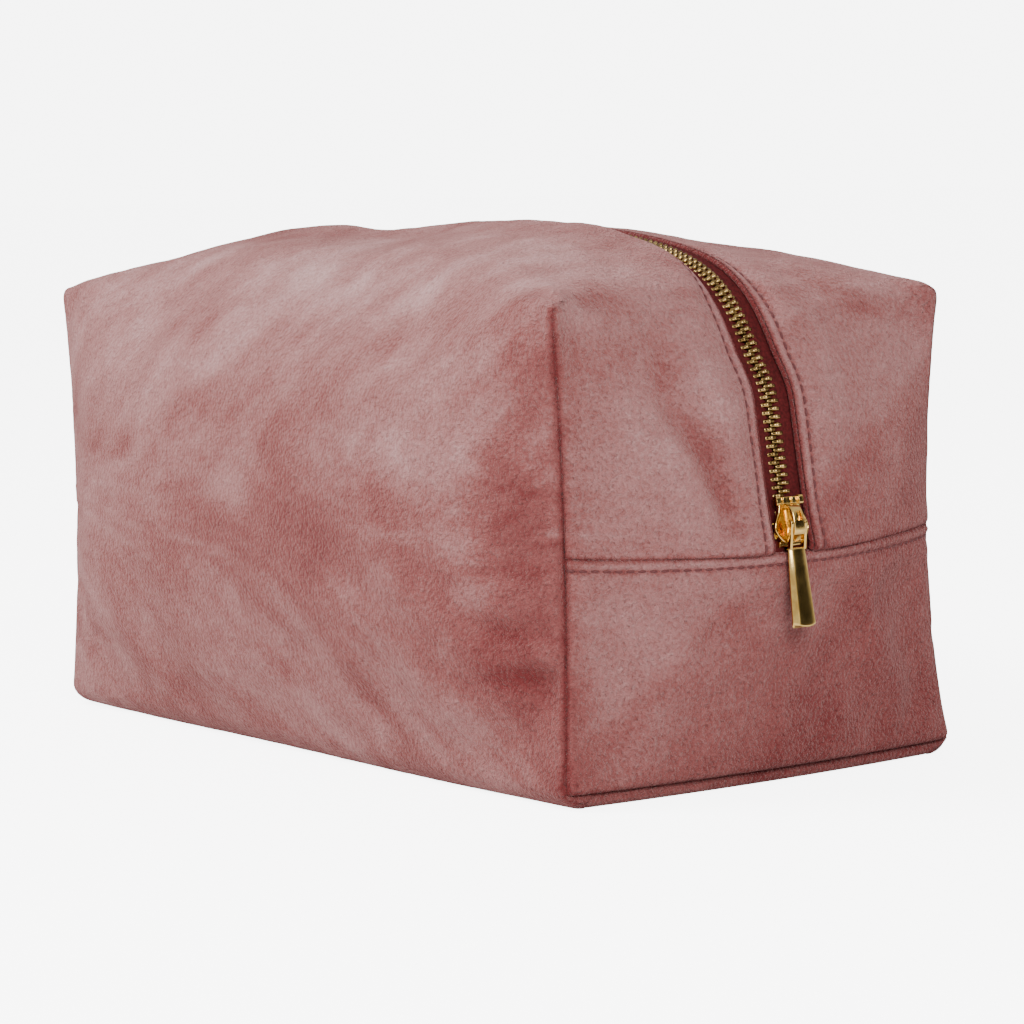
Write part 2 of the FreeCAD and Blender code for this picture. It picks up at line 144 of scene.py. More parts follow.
def smoothstep(value, low, high):
    t = np.clip((value - low) / (high - low), 0, 1)
    return t * t * (3 - 2 * t)


def bell(value, width):
    return np.exp(-(value / width) ** 2)


def away(distance, reach):
    """0 on an edge, nearing 1 well past reach."""
    return 1 - np.exp(-distance / reach)


def graded(length, coarse, fine_start=None, fine_end=None, growth=1.22):
    """Places from 0 to length, closer together at the ends that are given a fine step."""
    def ramp(step):
        steps = []
        while step is not None and step < coarse:
            steps.append(step)
            step *= growth
        return steps

    start, end = ramp(fine_start), ramp(fine_end)[::-1]
    count = max(1, round((length - sum(start) - sum(end)) / coarse))
    places = np.concatenate([[0], np.cumsum(start + [coarse] * count + end)])
    return places * length / places[-1]


def clouds(points, scale, seed, octaves=3):
    """Smooth noise from about -1 to 1 at points in millimetres."""
    shift = Vector((seed * 17.3, seed * 5.9, seed * 11.7))
    return np.array([noise.fractal(Vector(p) / scale + shift, 0.8, 2.1, octaves)
                     for p in points])


def arc_lengths(points):
    steps = np.linalg.norm(np.diff(points, axis=0), axis=1)
    return np.concatenate([[0], np.cumsum(steps)])


def read_along(places, lengths, values):
    """Values known at lengths along a line, read at other places along it."""
    return np.stack([np.interp(places, lengths, column) for column in values.T], -1)


def unit(vectors):
    return vectors / np.maximum(np.linalg.norm(vectors, axis=-1, keepdims=True), 1e-9)


# ---- stuffed shape

def swell(x, y, z):
    """Take points of a plain box, as arrays, to where the stuffed bag has them."""
    x, y, z = np.broadcast_arrays(np.asarray(x, float), np.asarray(y, float), np.asarray(z, float))
    along = np.clip(x / (LENGTH / 2), -1, 1)
    across = np.clip(y / (DEPTH / 2), -1, 1)
    level = np.clip(z / HEIGHT, 0, 1)
    above = np.clip((z - BULGE_HEIGHT) / (HEIGHT - BULGE_HEIGHT), 0, 1)
    below = np.clip((BULGE_HEIGHT - z) / BULGE_HEIGHT, 0, 1)
    end_bulge = 1 - above ** END_BULGE_POWER - (1 - END_BULGE_AT_BASE) * below ** 2
    side_bulge = 1 - above ** 2 - (1 - SIDE_BULGE_AT_BASE) * below ** 2
    pull = SEAM_PULL_LEFT + (SEAM_PULL_RIGHT - SEAM_PULL_LEFT) * (1 + along) / 2
    pull = pull * 4 * level * (1 - level)
    lean = CORNER_LEAN * level ** 3 * across ** 2 * np.clip(along, 0, 1) ** 3
    middle = 1 - across ** 2
    move_x = along ** 3 * (END_BULGE * middle * end_bulge - pull * across ** 2)
    move_y = across ** 3 * (SIDE_BULGE * (1 - along ** 4) * side_bulge - pull * along ** 4)
    ridge = (1 - np.abs(along) ** 4) * middle
    shoulder = CROWN_SPREAD * (1 - along ** 2) * across ** 2
    rise = CROWN_RISE * level ** 3 * (ridge + shoulder)
    for (place_x, place_y), turn, half_across, half_length, depth in CROWN_DIPS:
        run = (x - place_x) * math.cos(turn) + (y - place_y) * math.sin(turn)
        aside = (y - place_y) * math.cos(turn) - (x - place_x) * math.sin(turn)
        rise = rise - depth * level ** 6 * bell(run, half_length) * bell(aside, half_across)
    rounding = END_ROUNDING * middle
    pull_back = np.sqrt(1 - rounding * above ** 2 / 2 * np.abs(along) ** 3)
    drop = np.sqrt(1 - rounding * END_DROP * along ** 8)
    z = np.where(z > BULGE_HEIGHT, BULGE_HEIGHT + (z - BULGE_HEIGHT) * drop, z)
    return np.stack([x * pull_back + move_x - lean, y + move_y, z + rise], -1)


def top_radius(x):
    along = np.clip(x / (LENGTH / 2), -1, 1)
    return TOP_RADIUS_END + (TOP_RADIUS_MIDDLE - TOP_RADIUS_END) * (1 - along ** 2)


def half_width(z, inset=0.0):
    """Half the width of an end at a height of the plain box."""
    radius = max(BASE_RADIUS - inset, 1.0)
    foot = np.clip(z - inset, 0, radius)
    return DEPTH / 2 - inset - radius + np.sqrt(radius ** 2 - (radius - foot) ** 2)


# ---- sheets of fabric

class Sheet:
    """Points and quads of one piece of fabric, with the facts that shape its edges.

    Facts are zip_edge, seam, hem, top and bottom, each a distance from that edge; seam_end,
    1 where a corner seam has run out; and end, which marks the upper end halves.
    """

    def __init__(self):
        self.points = np.zeros((0, 3))
        self.faces = []
        self.facts = {}

    def add(self, points, **facts):
        """Add points; an unset fact counts as far away, seam_end as 0. Returns their indices."""
        first = len(self.points)
        count = len(points)
        self.points = np.concatenate([self.points, points])
        facts.setdefault("seam_end", 0.0)
        for name in sorted(set(self.facts) | set(facts)):
            old = self.facts.get(name, np.full(first, FAR))
            new = np.broadcast_to(facts.get(name, FAR), (count,))
            self.facts[name] = np.concatenate([old, new])
        return np.arange(first, first + count)

    def add_grid(self, grid, **facts):
        """Add rows of points, with facts in rows too. Returns their indices in rows."""
        facts = {name: np.ravel(values) for name, values in facts.items()}
        return self.add(grid.reshape(-1, 3), **facts).reshape(grid.shape[:2])

    def quads(self, grid, flip=False):
        """Faces between the indices in a grid of rows and columns."""
        for row, above in zip(grid[:-1], grid[1:]):
            for a, b, c, d in zip(row[:-1], row[1:], above[1:], above[:-1]):
                face = (a, b, c, d)
                self.faces.append(face[::-1] if flip else face)

    def normals(self):
        quads = np.array(self.faces)
        corners = self.points[quads]
        cross = np.cross(corners[:, 2] - corners[:, 0], corners[:, 3] - corners[:, 1])
        total = np.zeros_like(self.points)
        for corner in range(4):
            np.add.at(total, quads[:, corner], cross)
        return unit(total)


def piece(name, points, faces, smooth=True, **facts):
    """A mesh object from points in millimetres. It remembers where its points rest."""
    mesh = bpy.data.meshes.new(name)
    mesh.from_pydata((np.asarray(points) * MM).tolist(), [], [list(map(int, f)) for f in faces])
    mesh.validate()
    rest = mesh.attributes.new("rest", "FLOAT_VECTOR", "POINT")
    rest.data.foreach_set("vector", np.asarray(points, np.float32).ravel() * np.float32(MM))
    for fact, values in facts.items():
        layer = mesh.attributes.new(fact, "FLOAT", "POINT")
        layer.data.foreach_set("value", np.asarray(values, np.float32))
    mesh.polygons.foreach_set("use_smooth", [smooth] * len(mesh.polygons))
    obj = bpy.data.objects.new(name, mesh)
    bpy.context.scene.collection.objects.link(obj)
    return obj


def loft_faces(start, rings, sides, caps=True, flip=False):
    """Faces between closed rings of points, numbered from start, and over both ends."""
    faces = []
    last = start + (rings - 1) * sides
    for a in range(start, last):
        b = a + 1 if (a + 1 - start) % sides else a + 1 - sides
        faces.append((a, b, b + sides, a + sides))
    if caps:
        faces.append(tuple(range(start, start + sides))[::-1])
        faces.append(tuple(range(last, last + sides)))
    return [face[::-1] for face in faces] if flip else faces


def smooth_strip(strip, crease, width, sigma=4.5):
    """Round a crease in a line of points: average along it near the point number crease."""
    lengths = arc_lengths(strip)
    even = np.linspace(0, lengths[-1], 400)
    line = read_along(even, lengths, strip)
    step = even[1]
    reach = int(3 * sigma / step)
    kernel = bell(np.arange(-reach, reach + 1) * step, sigma * math.sqrt(2))
    kernel /= kernel.sum()
    padded = np.concatenate([
        2 * line[0] - line[1:reach + 1][::-1], line, 2 * line[-1] - line[-reach - 1:-1][::-1]])
    soft = np.stack([np.convolve(padded[:, axis], kernel, "valid") for axis in range(3)], -1)
    weight = bell(lengths - lengths[crease], width)[:, None]
    return strip + (read_along(lengths, even, soft) - strip) * weight


class HalfShell:
    """Front or back of the bag: wall, rounded edge, half the top and two upper end halves.

    It is one piece of fabric, slit at its two corner seams. The same class makes the velvet
    and, set in, the lining.
    """

    def __init__(self, side, inset=0.0, detail=1.0):
        self.side = side
        self.inset = inset
        self.sheet = Sheet()
        self.lay_out(detail)
        self.join_faces()
        self.round_end_edges()
        self.follow_track()

    def lay_out(self, detail):
        inset = self.inset
        half = LENGTH / 2 - inset
        wall = DEPTH / 2 - inset
        top = HEIGHT - inset
        low = max(BASE_RADIUS - inset, 1.0)
        end_radius = max(TOP_RADIUS_END - inset, 0.8)
        run = wall - end_radius - EDGE_Y
        self.x = graded(2 * half, 1.75 / detail, 0.42 / detail, 0.42 / detail) - half
        # Share of the way from the zip edge (0) to the corner (1), outermost first.
        self.across = 1 - graded(run, 1.6 / detail, 0.5 / detail, 0.36 / detail) / run

        x = self.x
        radius = np.maximum(top_radius(x) - inset, 0.8)
        rows = []
        for turn in np.linspace(0, math.pi / 2, round(9 * detail) + 1)[:-1]:
            rows.append((wall - low + low * math.sin(turn) + 0 * x,
                         inset + low - low * math.cos(turn) + 0 * x))
        for part in np.linspace(0, 1, round(52 * detail) + 1)[:-1]:
            rows.append((wall + 0 * x, inset + low + part * (top - radius - inset - low)))
        for turn in np.linspace(0, math.pi / 2, round(15 * detail) + 1)[:-1]:
            rows.append((wall - radius + radius * math.cos(turn),
                         top - radius + radius * math.sin(turn)))
        self.seam_rows = len(rows)
        for part in self.across:
            rows.append((EDGE_Y + part * (wall - radius - EDGE_Y), top + 0 * x))
        grid = np.stack([swell(x, self.side * y, z) for y, z in rows])

        row_number = np.arange(len(rows))[:, None] + 0 * x
        zip_distance = np.where(
            row_number >= self.seam_rows,
            self.across[np.clip(row_number.astype(int) - self.seam_rows, 0, None)] * run, FAR)
        seam_distance = half - np.abs(x)[None, :] + 0 * row_number
        level = np.stack([z for y, z in rows])
        fade = smoothstep(level, top - 0.6 * end_radius, top)
        self.main = self.sheet.add_grid(grid, zip_edge=zip_distance, seam=seam_distance,
                                        seam_end=fade)

        rise = graded(top - END_SEAM_Z, 1.6 / detail, 0.42 / detail, 1.0 / detail)
        part = (rise / rise[-1])[:, None]
        straight = top - end_radius - END_SEAM_Z
        arc = end_radius * math.pi / 2
        climb = part * (straight + arc)
        turn = np.clip((climb - straight) / end_radius, 0, math.pi / 2)
        corner_y = wall - end_radius + end_radius * np.cos(turn)
        corner_z = np.where(climb < straight, END_SEAM_Z + climb,
                            top - end_radius + end_radius * np.sin(turn))
        across = self.across[::-1][None, :]
        y = EDGE_Y + across * (corner_y - EDGE_Y)
        z = END_SEAM_Z + part * (top - END_SEAM_Z)
        z = z + across * (corner_z - z)
        z = z + SEAM_SAG * (y / (DEPTH / 2)) ** 2 * (1 - part)
        self.ends = {}
        for end in (1, -1):
            grid = swell(end * half, self.side * y, z)
            edge = (y - EDGE_Y)[:-1]
            fade = smoothstep(z[:-1], top - 0.6 * end_radius, top)
            new = self.sheet.add_grid(
                grid[:-1], zip_edge=edge, seam=(corner_y - y)[:-1], seam_end=fade, end=1.0,
                hem=rise[:-1, None] + 0 * edge)
            shared = self.main[self.seam_rows:, -1 if end > 0 else 0][::-1]
            self.ends[end] = np.concatenate([new, shared[None, :]])

    def join_faces(self):
        front = self.side < 0
        self.sheet.quads(self.main, flip=not front)
        self.sheet.quads(self.ends[1], flip=front)
        self.sheet.quads(self.ends[-1], flip=not front)

    def zip_edge(self):
        """Indices along the zip edge, right end seam to left end seam."""
        top = self.main[-1][::-1]
        return np.concatenate([self.ends[1][:-1, 0], top, self.ends[-1][:-1, 0][::-1]])

    def corner_seam(self, end):
        """Indices along a corner seam, from the base up."""
        return self.main[:self.seam_rows, -1 if end > 0 else 0]

    def round_end_edges(self):
        """Round the fold where the top turns down into the end halves."""
        points = self.sheet.points
        columns = self.ends[1].shape[1]
        for end in (1, -1):
            for column in range(columns):
                down = self.ends[end][:, column]
                row = self.main[self.seam_rows + columns - 1 - column]
                inward = (row[::-1] if end > 0 else row)[1:len(self.x) // 2]
                strip = np.concatenate([down, inward])
                share = self.across[::-1][column]
                strength = 1 - smoothstep(share, 0.86, 1.0)
                soft = smooth_strip(points[strip], len(down) - 1, 13.0)
                points[strip] += (soft - points[strip]) * strength

    def follow_track(self):
        """Draw the edges beside the slider onto its straight track."""
        points = self.sheet.points
        near = points[:, 0] > LENGTH / 4
        height = (points[:, 2] - TRACK_FOOT[2]) / TRACK_UP[2]
        line = TRACK_FOOT[0] + height * TRACK_UP[0] - self.inset
        edge = self.sheet.facts["zip_edge"]
        on_track = 1 - smoothstep(points[:, 2], FLAP_Z - 2, FLAP_Z + 12)
        weight = np.where(near, bell(edge, 9.0) * on_track, 0)
        points[:, 0] += (line - points[:, 0]) * weight


# ---- folds and lumps

# Soft folds in the velvet: start, end, half width, depth (negative rises), in millimetres.
# Their depth also darkens the velvet's colour as painted shade, and a ridge lightens it as a
# painted highlight.
FOLDS = [
    # Puckers in the front, drawn towards the corner seam by the slider's end.
    ((96, -69, 57), (115, -60, 59.5), 2.2, 0.6),
    ((88, -71, 44), (115, -60, 41.0), 3.0, 1.4),
    ((98, -67, 37), (115, -60, 36.5), 2.2, -0.9),
    ((90, -70, 30), (115, -60, 32.5), 2.8, 1.3),
    ((102, -66, 24), (115, -60, 27.5), 2.0, 0.7),
    ((102, -66, 76), (115, -60, 77.0), 1.8, 0.6),
    ((106, -66, 92), (115, -61, 93.0), 1.6, 0.6),
    # Drag lines that run down the front to its lower corner.
    ((36, -78, 60), (112, -66, 12), 7.0, 1.5),
    ((70, -76, 60), (114, -62, 26), 5.0, 1.4),
    ((-20, -77, 44), (70, -70, 8), 8.0, 0.8),
    ((-80, -74, 60), (-20, -70, 10), 9.0, 0.8),
    ((20, -76, 96), (92, -72, 66), 8.0, 0.6),
    # Wrinkles that fan from the top end of the corner seam.
    ((114, -63, 121), (98, -68, 112), 2.4, 0.9),
    ((114, -62, 122), (103, -60, 124), 2.0, 0.7),
    ((112, -62, 120), (100, -54, 127), 2.6, -0.8),
    ((113, -61, 119), (116, -47, 113), 2.6, 0.9),
    # Upper end, left of the zip: a valley that runs down beside it, with a ridge each side.
    ((115, -31, 114), (120, -33, 98), 3.4, 2.6),
    ((120, -33, 98), (123, -24.5, 84), 3.6, 3.6),
    ((123, -24.5, 84), (125, -17.5, 66), 3.4, 2.8),
    ((118, -22, 112), (124, -15, 84), 5.0, -1.8),
    ((116, -46, 106), (121, -42, 84), 8.0, -0.9),
    ((112, -48, 121), (114, -36, 118), 5.0, 1.3),
    # Upper end, right of the zip.
    ((118, 36, 94), (126, 14, 73), 5.5, 1.7),
    ((116, 46, 106), (124, 22, 84), 7.0, -1.1),
    ((112, 22, 116), (124, 15, 88), 5.0, -0.8),
    # Lower end panel.
    ((126, 27, 56), (122, -10, 8), 8.0, 0.9),
    ((122, -44, 50), (126, -8, 40), 9.0, 0.6),
    ((119, 52, 52), (124, 30, 40), 5.0, 0.7),
    # Top beside the zip, and the dip in the crest towards the far end.
    ((104, -9, 124), (60, -11, 137), 4.0, -0.6),
    ((108, 14, 121), (70, 16, 134), 5.0, -0.8),
    ((-60, -34, 132), (-22, -20, 137), 10.0, 0.9),
    # Left end and back, in the same manner.
    ((-96, -69, 57), (-115, -61, 59), 1.9, 0.8),
    ((-92, -69, 34), (-115, -61, 36), 2.2, 1.1),
    ((-113, -62, 121), (-99, -67, 113), 2.4, 0.8),
    ((-113, 62, 121), (-99, 67, 113), 2.4, 0.8),
    ((113, 62, 121), (99, 67, 113), 2.4, 0.8),
    ((94, 69, 52), (115, 60, 54), 2.2, 1.1),
    ((96, 69, 33), (115, 60, 31), 2.0, 1.0),
    ((-94, 69, 45), (-115, 61, 43), 2.2, 1.1),
    ((-40, 78, 66), (50, 77, 28), 9.0, 0.9),
    ((-100, 70, 70), (-40, 76, 24), 8.0, 0.8),
    ((-112, 24, 114), (-126, 14, 78), 6.5, 1.7),
    ((-112, -26, 112), (-125, -14, 80), 6.0, 1.4),
    ((-125, -28, 50), (-122, 20, 12), 8.0, 0.9),
]


def fold_depth(points):
    """How far the folds push each point inwards."""
    depth = np.zeros(len(points))
    for start, end, width, amount in FOLDS:
        start = np.array(start, float)
        line = np.array(end, float) - start
        share = np.clip((points - start) @ line / (line @ line), 0, 1)
        distance = np.linalg.norm(points - start - share[:, None] * line, axis=1)
        taper = 0.35 + 0.65 * np.sin(math.pi * np.clip(share, 0.04, 0.96)) ** 0.7
        depth += amount * taper * bell(distance, width)
    return depth


def lumps(points):
    """Slight unevenness of stuffed, hand-sewn fabric."""
    return 0.75 * clouds(points, 46.0, 1) + 0.22 * clouds(points, 13.0, 2)


def seam_groove(distance, puff):
    """Rise of the fabric beside a seam, at a distance from it; zero on the seam itself."""
    distance = np.maximum(distance, 0)
    lip = LIP_RISE * away(distance, 0.6) * np.exp(-distance / 12.0)
    return lip + puff * away(distance, 5.0) * np.exp(-distance / 26.0)


def edge_profile(distance, points):
    """Rise of the velvet beside the zip: it dips to its folded edge, past a stitch valley.

    On top, the front half stands higher beside the zip than the back half.
    """
    distance = np.maximum(distance, 0)
    on_top = smoothstep(points[:, 2], 112, 126)
    depth = EDGE_DIP * (1 + on_top * np.where(points[:, 1] < 0, 0.45, -1.0))
    dip = depth * away(distance, 3.2) * bell(distance, 22.0)
    edge = FOLDED_EDGE_RISE * bell(distance - 0.9, 0.9)
    valley = -VALLEY_DEPTH * bell(distance - STITCH_OFFSET, 0.65)
    return dip + edge + valley


# ---- cloth simulation

CLOTH_FRAMES = 22
CLOTH_GROWTH = 0.035
CLOTH_LIMIT = 2.6
CLOTH = dict(
    quality=6, tension_stiffness=15, compression_stiffness=15, shear_stiffness=8,
    bending_stiffness=0.3, use_pressure=True, uniform_pressure_force=4.0,
    shrink_min=-CLOTH_GROWTH, shrink_max=-CLOTH_GROWTH)


def neighbour_mean(values, faces, times):
    """Replace each point's value, so many times, by the mean over its neighbours."""
    quads = np.array(faces)
    for repeat in range(times):
        total = np.zeros_like(values)
        number = np.zeros(len(values))
        for corner in range(4):
            a = quads[:, corner]
            b = quads[:, (corner + 1) % 4]
            for one, other in ((a, b), (b, a)):
                np.add.at(total, one, values[other])
                np.add.at(number, one, 1)
        values = total / np.maximum(number, 1)[:, None]
    return values


def cloth_shift(name, sheet, held):
    """Let slightly oversized fabric settle between its held points, stuffed from inside.

    Returns how far it pushes each point, less most of the overall swelling, which the stuffed
    shape already has.
    """
    points = sheet.points
    trial = piece(name, points, sheet.faces)
    group = trial.vertex_groups.new(name="held")
    group.add([int(k) for k in np.where(held)[0]], 1.0, "REPLACE")
    cloth = trial.modifiers.new("cloth", "CLOTH")
    for setting, value in CLOTH.items():
        setattr(cloth.settings, setting, value)
    cloth.settings.vertex_group_mass = group.name
    cloth.settings.effector_weights.gravity = 0
    cloth.point_cache.frame_end = CLOTH_FRAMES
    scene = bpy.context.scene
    for step in range(1, CLOTH_FRAMES + 1):
        scene.frame_set(step)
    settled = trial.evaluated_get(bpy.context.evaluated_depsgraph_get()).data
    places = np.zeros(len(points) * 3, np.float32)
    settled.vertices.foreach_get("co", places)
    scene.frame_set(1)
    bpy.data.objects.remove(trial)
    shift = neighbour_mean(places.reshape(-1, 3) / MM - points, sheet.faces, 2)
    swelling = neighbour_mean(shift, sheet.faces, 40)
    shift = shift - 0.8 * swelling
    size = np.linalg.norm(shift, axis=1, keepdims=True)
    return shift * CLOTH_LIMIT * np.tanh(size / CLOTH_LIMIT) / np.maximum(size, 1e-6)


def carry_over(shift, rough_points, points):
    """Spread the shifts of a rough sheet over the points of a finer one."""
    tree = KDTree(len(rough_points))
    for k, place in enumerate(rough_points):
        tree.insert(place, k)
    tree.balance()
    result = np.zeros_like(points)
    for k, place in enumerate(points):
        near = tree.find_n(place, 6)
        weights = np.array([1 / (distance ** 2 + 0.6) for spot, index, distance in near])
        result[k] = weights @ shift[[index for spot, index, distance in near]] / weights.sum()
    return result


# ---- tone of the velvet's pile, with painted light and shade

# Places where the velvet is coloured lighter (positive) or darker: centre, radii, amount.
# The lighter ones over the top and the upper front are painted light from above; the darker ones
# along the bottoms and beside the front's corner seam at the slider's end are painted shade;
# the rest are the pile's own patchy tone.
NAP_AND_PAINTED_LIGHT_PATCHES = [
    ((50, -56, 128), (80, 24, 16), 0.27),
    ((-80, -62, 112), (60, 30, 20), 0.16),
    ((0, -76, 106), (46, 16, 12), 0.12),
    ((-96, -70, 40), (24, 20, 34), 0.05),
    ((-30, -74, 76), (30, 16, 14), 0.06),
    ((84, -74, 96), (20, 16, 16), 0.14),
    ((66, -76, 82), (16, 16, 9), 0.10),
    ((-60, -68, 26), (26, 20, 12), -0.06),
    ((106, -66, 60), (10, 14, 60), -0.10),
    ((2, -78, 90), (22, 16, 11), -0.12),
    ((20, -78, 56), (44, 16, 16), -0.22),
    ((104, -66, 66), (12, 16, 52), -0.26),
    ((100, -66, 30), (16, 16, 20), -0.12),
    ((20, -66, 4), (110, 20, 8), -0.10),
    ((122, -50, 112), (20, 14, 12), -0.07),
    ((122, -30, 92), (20, 12, 22), 0.08),
    ((121, -50, 72), (20, 16, 14), 0.10),
    ((121, -50, 34), (20, 16, 26), 0.12),
    ((122, -10, 44), (20, 26, 10), 0.05),
    ((118, 24, 102), (20, 14, 12), 0.04),
    ((120, 0, 2), (20, 60, 8), -0.10),
]
# Straight-ish borders where the pile on the right end turns: a point, the way into the dark.
NAP_BORDERS = [
    ((122, 8, 30), (0, 0.81, -0.59), 0.14),
    ((122, 26, 82), (0, 0.61, -0.79), 0.14),
]


def painted_groove_shade(facts):
    """Painted shade: how much darker the velvet is coloured in seams, stitch lines and under the
    zip's folded edge.
    """
    shade = np.zeros(len(next(iter(facts.values()))))
    for fact in ("seam", "hem", "top", "bottom", "zip_edge"):
        if fact in facts:
            depth = 0.7 if fact == "zip_edge" else 0.45
            painted_seam_shade = depth * np.exp(-np.clip(facts[fact], 0, 50) / 0.55)
            shade += painted_seam_shade * (1 - facts["seam_end"]) if fact == "seam" else painted_seam_shade
    # Painted shade along the stitch valleys, and a painted highlight on the raised band beside the
    # edge.
    for fact in ("top", "zip_edge"):
        if fact in facts:
            shade += 0.20 * bell(facts[fact] - STITCH_OFFSET, 0.6)
            shade -= 0.12 * bell(facts[fact] - 1.5, 0.8)
    return shade


def nap(points, facts):
    """How light the velvet is coloured at each point, about 0 to 1: brushed cloudy patches of the
    pile, with painted light and shade added.
    """
    warp = np.stack([clouds(points, 38.0, seed, 2) for seed in (3, 4, 5)], -1)
    bent = points + 11.0 * warp
    ends = smoothstep(np.abs(points[:, 0]), 108, 118)
    value = 0.5 + (0.15 - 0.07 * ends) * clouds(bent, 27.0, 6, 4)
    # Brush strokes on the sides: they rise to the right high up, and fall to the right low down.
    turn = np.radians(42 - 80 * smoothstep(-points[:, 2], -86, -44))
    along = points[:, 0] * np.cos(turn) + points[:, 2] * np.sin(turn)
    over = points[:, 2] * np.cos(turn) - points[:, 0] * np.sin(turn)
    strokes = np.stack([along * 0.22, points[:, 1] * 0.5, over], -1) + 2.0 * warp
    value += (0.17 - 0.11 * ends) * clouds(strokes, 7.5, 7, 3)
    shifted = points + 8.0 * warp
    # Pile tone, with painted light on top and painted shade low down and beside the corner seam.
    for centre, radii, amount in NAP_AND_PAINTED_LIGHT_PATCHES:
        offset = (shifted - np.array(centre, float)) / np.array(radii, float)
        value += amount * np.exp(-(offset ** 2).sum(-1))
    for place, into_dark, amount in NAP_BORDERS:
        depth = (points + 4.0 * warp - np.array(place, float)) @ np.array(into_dark, float)
        value -= amount * smoothstep(depth, -2.5, 3.5) * smoothstep(points[:, 0], 104, 114)
    # Painted shade in the folds and a painted highlight on ridges, then the painted shade of the
    # grooves.
    return value - 0.09 * fold_depth(points) - painted_groove_shade(facts)


# ---- materials

def new_material(name):
    material = bpy.data.materials.new(name)
    material.use_nodes = True
    tree = material.node_tree
    shader = tree.nodes["Principled BSDF"]
    return material, tree, shader


def node(tree, kind, **values):
    """Add a node; a value whose name is an input's sets it, any other is a setting."""
    made = tree.nodes.new(kind)
    for name, value in values.items():
        if name.replace("_", " ") in made.inputs:
            made.inputs[name.replace("_", " ")].default_value = value
        else:
            setattr(made, name, value)
    return made


def rest_place(tree, scale=1.0, squeeze=(1.0, 1.0, 1.0)):
    """Where a surface point lies when the bag is closed, in metres, then scaled."""
    place = node(tree, "ShaderNodeAttribute", attribute_name="rest")
    mapping = node(tree, "ShaderNodeMapping")
    mapping.inputs["Scale"].default_value = [scale * part for part in squeeze]
    tree.links.new(place.outputs["Vector"], mapping.inputs["Vector"])
    return mapping.outputs["Vector"]


def grain(tree, vector, scale, detail=3.0, roughness=0.6):
    made = node(tree, "ShaderNodeTexNoise", Scale=scale, Detail=detail, Roughness=roughness)
    tree.links.new(vector, made.inputs["Vector"])
    return made.outputs["Fac"]


def wave(tree, vector, scale, distortion, **values):
    made = node(tree, "ShaderNodeTexWave", Scale=scale, Distortion=distortion, **values)
    tree.links.new(vector, made.inputs["Vector"])
    return made.outputs["Fac"]


def ramp(tree, value, *stops):
    """Colour ramp through (place, colour) stops."""
    made = node(tree, "ShaderNodeValToRGB")
    elements = made.color_ramp.elements
    while len(elements) < len(stops):
        elements.new(0.5)
    for element, (place, colour) in zip(elements, stops):
        element.position = place
        element.color = (*colour, 1)
    tree.links.new(value, made.inputs["Fac"])
    return made.outputs["Color"]


def arithmetic(tree, operation, first, second, third=None):
    made = node(tree, "ShaderNodeMath", operation=operation)
    for socket, value in zip(made.inputs, (first, second, third)):
        if value is None:
            continue
        if isinstance(value, (int, float)):
            socket.default_value = value
        else:
            tree.links.new(value, socket)
    return made.outputs["Value"]


def bumps(tree, shader, *layers):
    """Stack bump maps: each layer is (height, strength, distance in metres)."""
    below = None
    for height, strength, distance in layers:
        made = node(tree, "ShaderNodeBump", Strength=strength, Distance=distance)
        tree.links.new(height, made.inputs["Height"])
        if below is not None:
            tree.links.new(below, made.inputs["Normal"])
        below = made.outputs["Normal"]
    tree.links.new(below, shader.inputs["Normal"])


def cover_surface(tree, shader, shade, stops, wear, rough_span, rough_low, *layers):
    """Colour from a ramp over shade, roughness from the wear texture, then bumps."""
    tree.links.new(ramp(tree, shade, *stops), shader.inputs["Base Color"])
    rough = arithmetic(tree, "MULTIPLY_ADD", wear, rough_span, rough_low)
    tree.links.new(rough, shader.inputs["Roughness"])
    bumps(tree, shader, *layers)


def velvet_material():
    material, tree, shader = new_material("velvet")
    place = rest_place(tree)
    # This attribute holds the pile's tone with painted light and shade.
    patches = node(tree, "ShaderNodeAttribute", attribute_name="nap").outputs["Fac"]
    mottle = grain(tree, place, 260.0, 4.0, 0.6)
    pile = grain(tree, place, 950.0, 2.0, 0.6)
    tufts = grain(tree, place, 2300.0, 2.0, 0.7)
    brushed = grain(tree, rest_place(tree, 1.0, (0.4, 0.6, 1.6)), 240.0, 3.0, 0.6)
    value = patches
    for layer, amount in ((mottle, 0.20), (pile, 0.50), (tufts, 0.30), (brushed, 0.14)):
        value = arithmetic(tree, "MULTIPLY_ADD", arithmetic(tree, "SUBTRACT", layer, 0.5), amount,
                           value)
    stops = ((0.0, (0.120, 0.018, 0.018)), (0.35, (0.200, 0.060, 0.056)),
             (0.65, (0.300, 0.138, 0.131)), (1.0, (0.450, 0.275, 0.268)))
    cover_surface(tree, shader, value, stops, mottle, 0.2, 0.72,
                  (mottle, 0.4, 0.0012), (pile, 1.0, 0.0018), (tufts, 0.5, 0.0005))
    shader.inputs["Specular IOR Level"].default_value = 0.12
    shader.inputs["Sheen Weight"].default_value = 0.22
    shader.inputs["Sheen Roughness"].default_value = 0.4
    shader.inputs["Sheen Tint"].default_value = (1.0, 0.62, 0.58, 1)
    return material


def lining_material():
    material, tree, shader = new_material("lining")
    place = rest_place(tree)
    weave = [wave(tree, place, 900.0, 1.0, Detail=1.0, bands_direction=way) for way in "XZ"]
    cloth = arithmetic(tree, "MULTIPLY", *weave)
    shade = grain(tree, place, 60.0)
    stops = ((0.3, (0.33, 0.16, 0.16)), (0.7, (0.46, 0.25, 0.25)))
    cover_surface(tree, shader, shade, stops, cloth, 0.2, 0.42, (cloth, 0.3, 0.0002))
    return material


